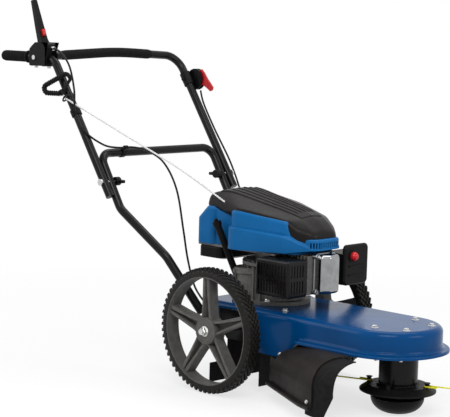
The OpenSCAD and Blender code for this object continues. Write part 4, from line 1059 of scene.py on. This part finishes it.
def add_handle():
    """The bent tubes of the lower and upper handle, with the foam and the rear grip."""
    route = low_leg(-1) + list(reversed(low_leg(1)))
    low = tube(rounded(route, (60, 60, 38, 38, 60, 60)), TUBE_R, 28)
    piece("lower_frame", low, BLACK_PAINT, ("lower_handle",))
    foot_z, bow_r, bend_r = 515, 1200, 55
    foot = Vector((leg_x(foot_z), LEG_Y, foot_z))
    bar_x, rear_x = leg_x(BAR_Z), leg_x(REAR_Z)
    far = spots(
        foot, (bar_x, LEG_Y, BAR_Z), (bar_x - 8, 0, BAR_Z + 13), (rear_x - 2, 6 - LEG_Y, REAR_Z + 7),
    )
    near = spots(foot * OTHER_SIDE, (rear_x, -LEG_Y, REAR_Z), (GRIP_END + 4, -LEG_Y, REAR_Z))
    upper = tube(rounded(far, (bend_r, bow_r), 4), TUBE_R, 28)
    upper = tube(rounded(near, (bend_r,), 4), TUBE_R, 28, upper)
    piece("upper_frame", upper, BLACK_PAINT, ("upper_handle",), "handle")
    ends = [far[1].lerp(far[2], 0.46), far[2], far[2].lerp(far[3], 0.91)]
    path = finer(rounded(ends, (bow_r,), 1), 8)
    foam = piece("bar_foam", tube(path, swell, 32), FOAM_BLACK, ("bar_grip",), "handle")
    profile = [(CORE, 0), (12, 0), (15, 2), (16, 6)]
    for k in range(1, 25):
        z = 6 + 4.4 * k
        profile += [(15.2, z - 1.4), (16.6, z), (15.2, z + 1.2)]
    profile += [(16, GRIP_L - 8), (19, GRIP_L - 6), (19, GRIP_L - 1)]
    profile += [(18, GRIP_L), (12.8, GRIP_L), (CORE, GRIP_L)]
    grip = turned(lathe(profile, 48), forward(GRIP_END, -LEG_Y, REAR_Z))
    piece("ribbed_grip", grip, RUBBER, ("rear_grip",), "handle", crease=50)


def add_cords():
    """The rope and the two control cables, each held along its way."""
    rope_line = spots((-68, -104, 512), (-220, -157, 606), (-410, -220, 702), EYE + Vector((3, 1, -1.5)))
    clutch_line = spots(
        (-690, -LEG_Y, 940), (-640, -268, 932), (-585, -276, 892), (-557, -279, 822), (-550, -279, 755),
        (-514, -274, 702), (-485, -225, 662), (-469, -180, 652), (-465, -120, 651), (-407, -112, 643),
        (-336, -112, 612), (-280, -113, 538), (-246, -115, 423), (-226, -114, 340), (-196, -112, 262),
        (-145, -112, 214),
    )
    throttle_line = spots(
        (-594, 288, 809), (-574, 284, 768), (-520, 282, 690), (-458, 286, 602), (-425, 286, 548),
        (-385, 268, 508), (-300, 215, 475), (-150, 185, 445), (20, 170, 410), (105, 130, 350),
        (127, 95, 335),
    )
    clutch_bend = (clutch_line[7], clutch_line[4])
    throttle_bend = (throttle_line[6], throttle_line[3])
    cords = (
        ("starter_cord", rope_line, 14, ROPE_D, ROPE_WHITE, "starter_rope", (rope_line[0], EYE)),
        ("clutch_sheath", clutch_line, 8, CABLE_D, CABLE_BLACK, "clutch_cable", clutch_bend),
        ("throttle_sheath", throttle_line, 8, CABLE_D, CABLE_BLACK, "throttle_cable", throttle_bend),
    )
    for name, line, steps, thick, material, node, bend in cords:
        cord = tube(eased(line, steps), thick / 2, 14)
        piece(name, cord, material, (node,), None, across=span("chassis", "handle", *bend))


def add_control_housing():
    """The clutch control's housing: two cheeks and an arched front that the cable comes out of."""
    pin_x, half, cheek_t = -740, 23, 3.5
    back, front, inner = pin_x - 25, pin_x + 50, pin_x + 36
    low, high, cable_z = REAR_Z - 25, REAR_Z + 46, REAR_Z + 29
    near, far = -LEG_Y - half, -LEG_Y + half

    def slab(corners, radii, y, depth):
        start = corners[0].lerp(corners[-1], 0.5)
        outline = [(p.x, p.y) for p in rounded([start, *corners, start], radii)[:-1]]
        return plate(outline, y, depth)

    cheek = flat(((front, low), (front, high), (back + 26, high), (back, REAR_Z + 26), (back, low)))
    arch = flat(((front, low), (front, high), (inner, high), (inner, low)))
    shells = [slab(cheek, (4, 24, 12, 8, 4), y, cheek_t) for y in (near, far - cheek_t)]
    shells.append(slab(arch, (4, 13, 2, 2), near + 1, 2 * half - 2))
    for x in (back + 4, front - 14):
        shells.append(block((x, near + 1, low - 1), (x + 10, far - 1, low + 7)))
    piece("clutch_housing", joined(*shells), BLACK_PLASTIC, ("control_housing",), "handle", edge=0.6)
    collar = [(4.6, -2), (4.6, 9), (6.5, 9), (6.5, 13), (4.2, 13), (4.2, 18)]
    bore = 3.6
    sleeve = lathe([(bore, -2), *collar, (bore, 18)], 40)
    turned(sleeve, forward(front, -LEG_Y, cable_z))
    piece("cable_adjuster", sleeve, ZINC, (), "handle")


def ribbed(share):
    """The pull grip's radius along its loop: ribs on the bar, then thinner towards the rope."""
    ribbed_to, ribs, thick, thin, rib_h, taper = 0.66, 34, 7.6, 4.2, 0.8, 0.2
    if share < ribbed_to:
        return thick + rib_h * math.cos(2 * math.pi * ribs * share)
    return thick + (thin - thick) * min(1, (share - ribbed_to) / taper)


def add_pull_grip():
    """The ribbed pull grip and the end of the rope that it hangs on."""
    bar = Vector((54, 53, 46)).normalized()
    hang = Vector((29, 0, -55))
    hang = (hang - hang.dot(bar) * bar).normalized()
    half, throat, drop_l, rope_at = 42, 46, 66, 54.8
    spot = EYE - drop_l * hang - Vector((0, 1.6, 0))
    place = Matrix.Translation(spot) @ Matrix((bar, hang, bar.cross(hang))).transposed().to_4x4()
    loop = ((-6, throat), (-half, 22), (-half, 0), (half, 0), (half, 22), (6, throat))
    path = finer(rounded(flat(loop), (9, 12, 12, 9)))
    knot = flat((0, throat - 8 + 2 * k) for k in range(9))
    grip = tube(knot, lambda share: 8.2 - 1.6 * share, 24, tube(path, ribbed, 24))
    piece("pull_handle", turned(grip, place), BLACK_PLASTIC, ("starter_grip",), "pull_grip", crease=50)
    top = spot + rope_at * hang
    line = tube([top.lerp(EYE, k / 6) for k in range(7)], ROPE_D / 2, 14)
    piece("rope_end", line, ROPE_WHITE, ("rope_tail",), None, across=span("handle", "pull_grip", EYE, top))


# Small parts


def add_fasteners():
    """Bolts on the deck, the engine's feet, the flange, the cheeks, the guard and the axle."""
    deck_heads = []
    for x, y in ((64, 55), (-17, 88)):
        deck_heads += [(Vector((x, s * y, DECK_TOP)), UP) for s in (1, -1)]
    deck_heads.append((Vector((-330, -98, DECK_TOP)), UP))
    engine_x, foot_r = -460, 94
    feet = []
    for degrees in (60, 180, 300):
        feet.append((polar(foot_r, math.radians(degrees), DECK_TOP + 12, engine_x), UP))
    rim_places = []
    nose, inner, reach = DECK_FRONT - NOSE_R, DECK_HALF - NOSE_R, NOSE_R + FLANGE_W / 2
    for degrees in (39, 64):
        spot = polar(reach, math.radians(degrees), FLANGE_TOP - 2 * SHEET, nose, inner)
        rim_places += [(spot, -UP), (spot * OTHER_SIDE, -UP)]
    cheeks, hubs = [], []
    for s in (1, -1):
        aim = Vector((0, s, 0))
        cheeks.append((Vector((CHEEK_FRONT - 40, s * DECK_HALF, CHEEK_LOW + 9)), aim))
        hubs.append((Vector((-WHEELBASE, s * (TRACK_HALF + TYRE_HALF - 1.7), WHEEL_R)), aim))
    out = polar(1, math.radians(GUARD_TURN + GUARD_ROUND - 4))
    screw = [(out * (GUARD_R + GUARD_T) + UP * 54, out)]
    groups = (
        (hex_head(7, 5.5, 10.5), deck_heads), (hex_head(7, 5.5, 9.5), feet),
        (hex_head(5.2, 5, 5), rim_places), (hex_head(5.2, 4, 6), cheeks),
        (hex_head(4.2, 2.6, 6), screw), (hex_head(12, 11, 15), hubs),
    )
    heads = joined(*(at_places(head, ZINC, places) for head, places in groups))
    piece("bolt_heads", heads, ZINC, ("fasteners",), origin=GROUND)


SOFT_NODES = (
    ("axle_brackets", BLACK_PAINT, 0.7),
    ("belt_cover", BLACK_PLASTIC, 0.7),
    ("rear_skirts", RUBBER, 0.8),
    ("spindle_housing", BLACK_PAINT, 1.2),
    ("crankcase", CAST, 1.2),
    ("cylinder_block", CAST, 0.6),
    ("carburettor", CAST, 1.2),
    ("muffler", DARK_STEEL, 0.5),
    ("air_filter_box", BLACK_PLASTIC, 0.6),
    ("bar_clip", BLACK_PLASTIC, 0.6),
    ("throttle_housing", BLACK_PLASTIC, 1.0, "handle"),
    ("leg_clips", BLACK_PLASTIC, 0.5, "handle"),
    ("clutch_lever", BLACK_PLASTIC, 1.2, "lever"),
    ("lock_button", RED, 1.2, "lock"),
    ("throttle_lever", RED, 1.2, "throttle"),
    ("right_knob", BLACK_PLASTIC, 1.2, "right_fold_knob"),
    ("left_knob", BLACK_PLASTIC, 1.2, "left_fold_knob"),
    ("fuel_cap", BLACK_PLASTIC, 0.8, "tank_cap"),
    ("head_plate", BLACK_PLASTIC, 0.8, "head"),
    ("glide_dish", BLACK_PLASTIC, 0.8, "dish"),
)
PLAIN_NODES = {
    ZINC: "axle handle_bolts control_screws spindle spindle_bearings crankshaft idler_arm",
    CAST: "driven_pulley drive_pulley flywheel",
    RUBBER: "drive_belt",
    BLACK_PLASTIC: "filler_tube dipstick idler_pulley",
    BLACK_PAINT: "rope_guide",
    LINE_YELLOW: "trimmer_line",
}


def dress_solids():
    """Eased edges for some solids, and finishes for those that show as they are."""
    for row in SOFT_NODES:
        softened(*row)
    for material, names in PLAIN_NODES.items():
        for name in names.split():
            painted(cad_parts[name].data, material)


# Stage


def add_camera():
    """The photograph's viewpoint, with its slight lean."""
    photo_w, sensor, focal_px = 450, 36, 1601.7
    spot = Vector((2613.47, -3380.76, 1057.25)) * MM
    yaw, pitch, roll = (math.radians(a) for a in (134.16, -6.92, 1.56))
    ahead = Vector((math.cos(yaw) * math.cos(pitch), math.sin(yaw) * math.cos(pitch), math.sin(pitch)))
    level = ahead.cross(UP).normalized()
    rise = level.cross(ahead)
    right = math.cos(roll) * level + math.sin(roll) * rise
    above = math.cos(roll) * rise - math.sin(roll) * level
    lens = bpy.data.cameras.new("camera")
    lens.sensor_width = sensor
    lens.lens = focal_px / photo_w * sensor
    camera = placed("camera", lens)
    turn = Matrix((right, above, -ahead)).transposed().to_4x4()
    camera.matrix_world = Matrix.Translation(spot) @ turn
    bpy.context.scene.camera = camera


def add_lamp(name, spot, aim, size, power):
    """A soft box that points at a spot."""
    light = bpy.data.lights.new(name, "AREA")
    light.shape = "RECTANGLE"
    light.size, light.size_y = size
    light.energy = power
    lamp = placed(name, light)
    way = Vector(aim) - Vector(spot)
    lamp.location = spot
    lamp.rotation_euler = way.to_track_quat("-Z", "Y").to_euler()


def seen_rays(tree):
    """One for rays from the camera and for mirrored or refracted ones, else nought."""
    path = add_node(tree, "ShaderNodeLightPath")
    seen = (path, "Is Camera Ray")
    for name in ("Is Glossy Ray", "Is Transmission Ray"):
        either = add_node(tree, "ShaderNodeMath", operation="MAXIMUM")
        wire(*seen, either, 0)
        wire(path, name, either, 1)
        seen = (either, "Value")
    return seen


def studio_sky():
    """A soft sky that lights the object, with a white background behind it."""
    world = bpy.data.worlds.new("studio")
    world.use_nodes = True
    tree = world.node_tree
    plain = fill(tree.nodes["Background"], {"Color": (0.94, 0.97, 1.0, 1), "Strength": 0.30})
    white = add_node(tree, "ShaderNodeBackground", {"Color": (1, 1, 1, 1)})
    pick = add_node(tree, "ShaderNodeMixShader")
    wire(*seen_rays(tree), pick, "Fac")
    wire(plain, "Background", pick, 1)
    wire(white, "Background", pick, 2)
    wire(pick, "Shader", tree.nodes["World Output"], "Surface")
    return world


def floor_finish():
    """A pale floor that keeps the object's shadow and fades to plain white further out."""
    pale = finish(
        "floor_pale", (0.88, 0.88, 0.88), (0.90, 0.90, 0.90), 0.5, (0.8, 0.9), 0.0, 10, shine=0.0,
    )
    tree = pale.node_tree
    glow = add_node(tree, "ShaderNodeEmission")
    spot = add_node(tree, "ShaderNodeTexCoord")
    far = add_node(tree, "ShaderNodeVectorMath", {1: (-0.5, 0, 0)}, operation="DISTANCE")
    reach = {"From Min": 0.5, "From Max": 2.2, "To Min": 0.72, "To Max": 1.0}
    fade = add_node(tree, "ShaderNodeMapRange", reach)
    share = add_node(tree, "ShaderNodeMath", operation="MULTIPLY")
    mix = add_node(tree, "ShaderNodeMixShader")
    wire(spot, "Object", far, 0)
    wire(far, "Value", fade, "Value")
    wire(fade, "Result", share, 0)
    wire(*seen_rays(tree), share, 1)
    wire(share, "Value", mix, "Fac")
    wire(tree.nodes["Principled BSDF"], "BSDF", mix, 1)
    wire(glow, "Emission", mix, 2)
    wire(mix, "Shader", tree.nodes["Material Output"], "Surface")
    return pale


def add_stage():
    """A pale floor, a bright sky all round and soft lamps."""
    scene = bpy.context.scene
    scene.view_settings.view_transform = "Standard"
    scene.world = studio_sky()
    ground = bmesh.new()
    bmesh.ops.create_grid(ground, x_segments=1, y_segments=1, size=40)
    floor = placed("floor", mesh_of("floor", ground))
    floor.data.materials.append(floor_finish())
    add_lamp("key_box", (1.6, -2.4, 3.2), (-0.5, 0, 0.4), (2.4, 1.8), 95)
    add_lamp("side_box", (-3.0, -2.2, 2.2), (-0.5, 0, 0.4), (2.0, 2.0), 36)
    add_lamp("front_box", (3.2, 0.8, 1.8), (-0.3, 0, 0.3), (2.0, 1.6), 40)
    add_lamp("top_box", (-0.6, 1.0, 3.6), (-0.5, 0, 0.3), (3.0, 2.0), 60)


add_camera()
add_stage()
add_cords()
add_control_housing()
add_pull_grip()
for wheel_side in (-1, 1):
    add_wheel(wheel_side)
add_deck()
add_guard()
add_shroud()
add_top_cover()
add_tank()
add_rocker_cover()
add_primer()
add_muffler_guard()
add_handle()
add_fasteners()
dress_solids()
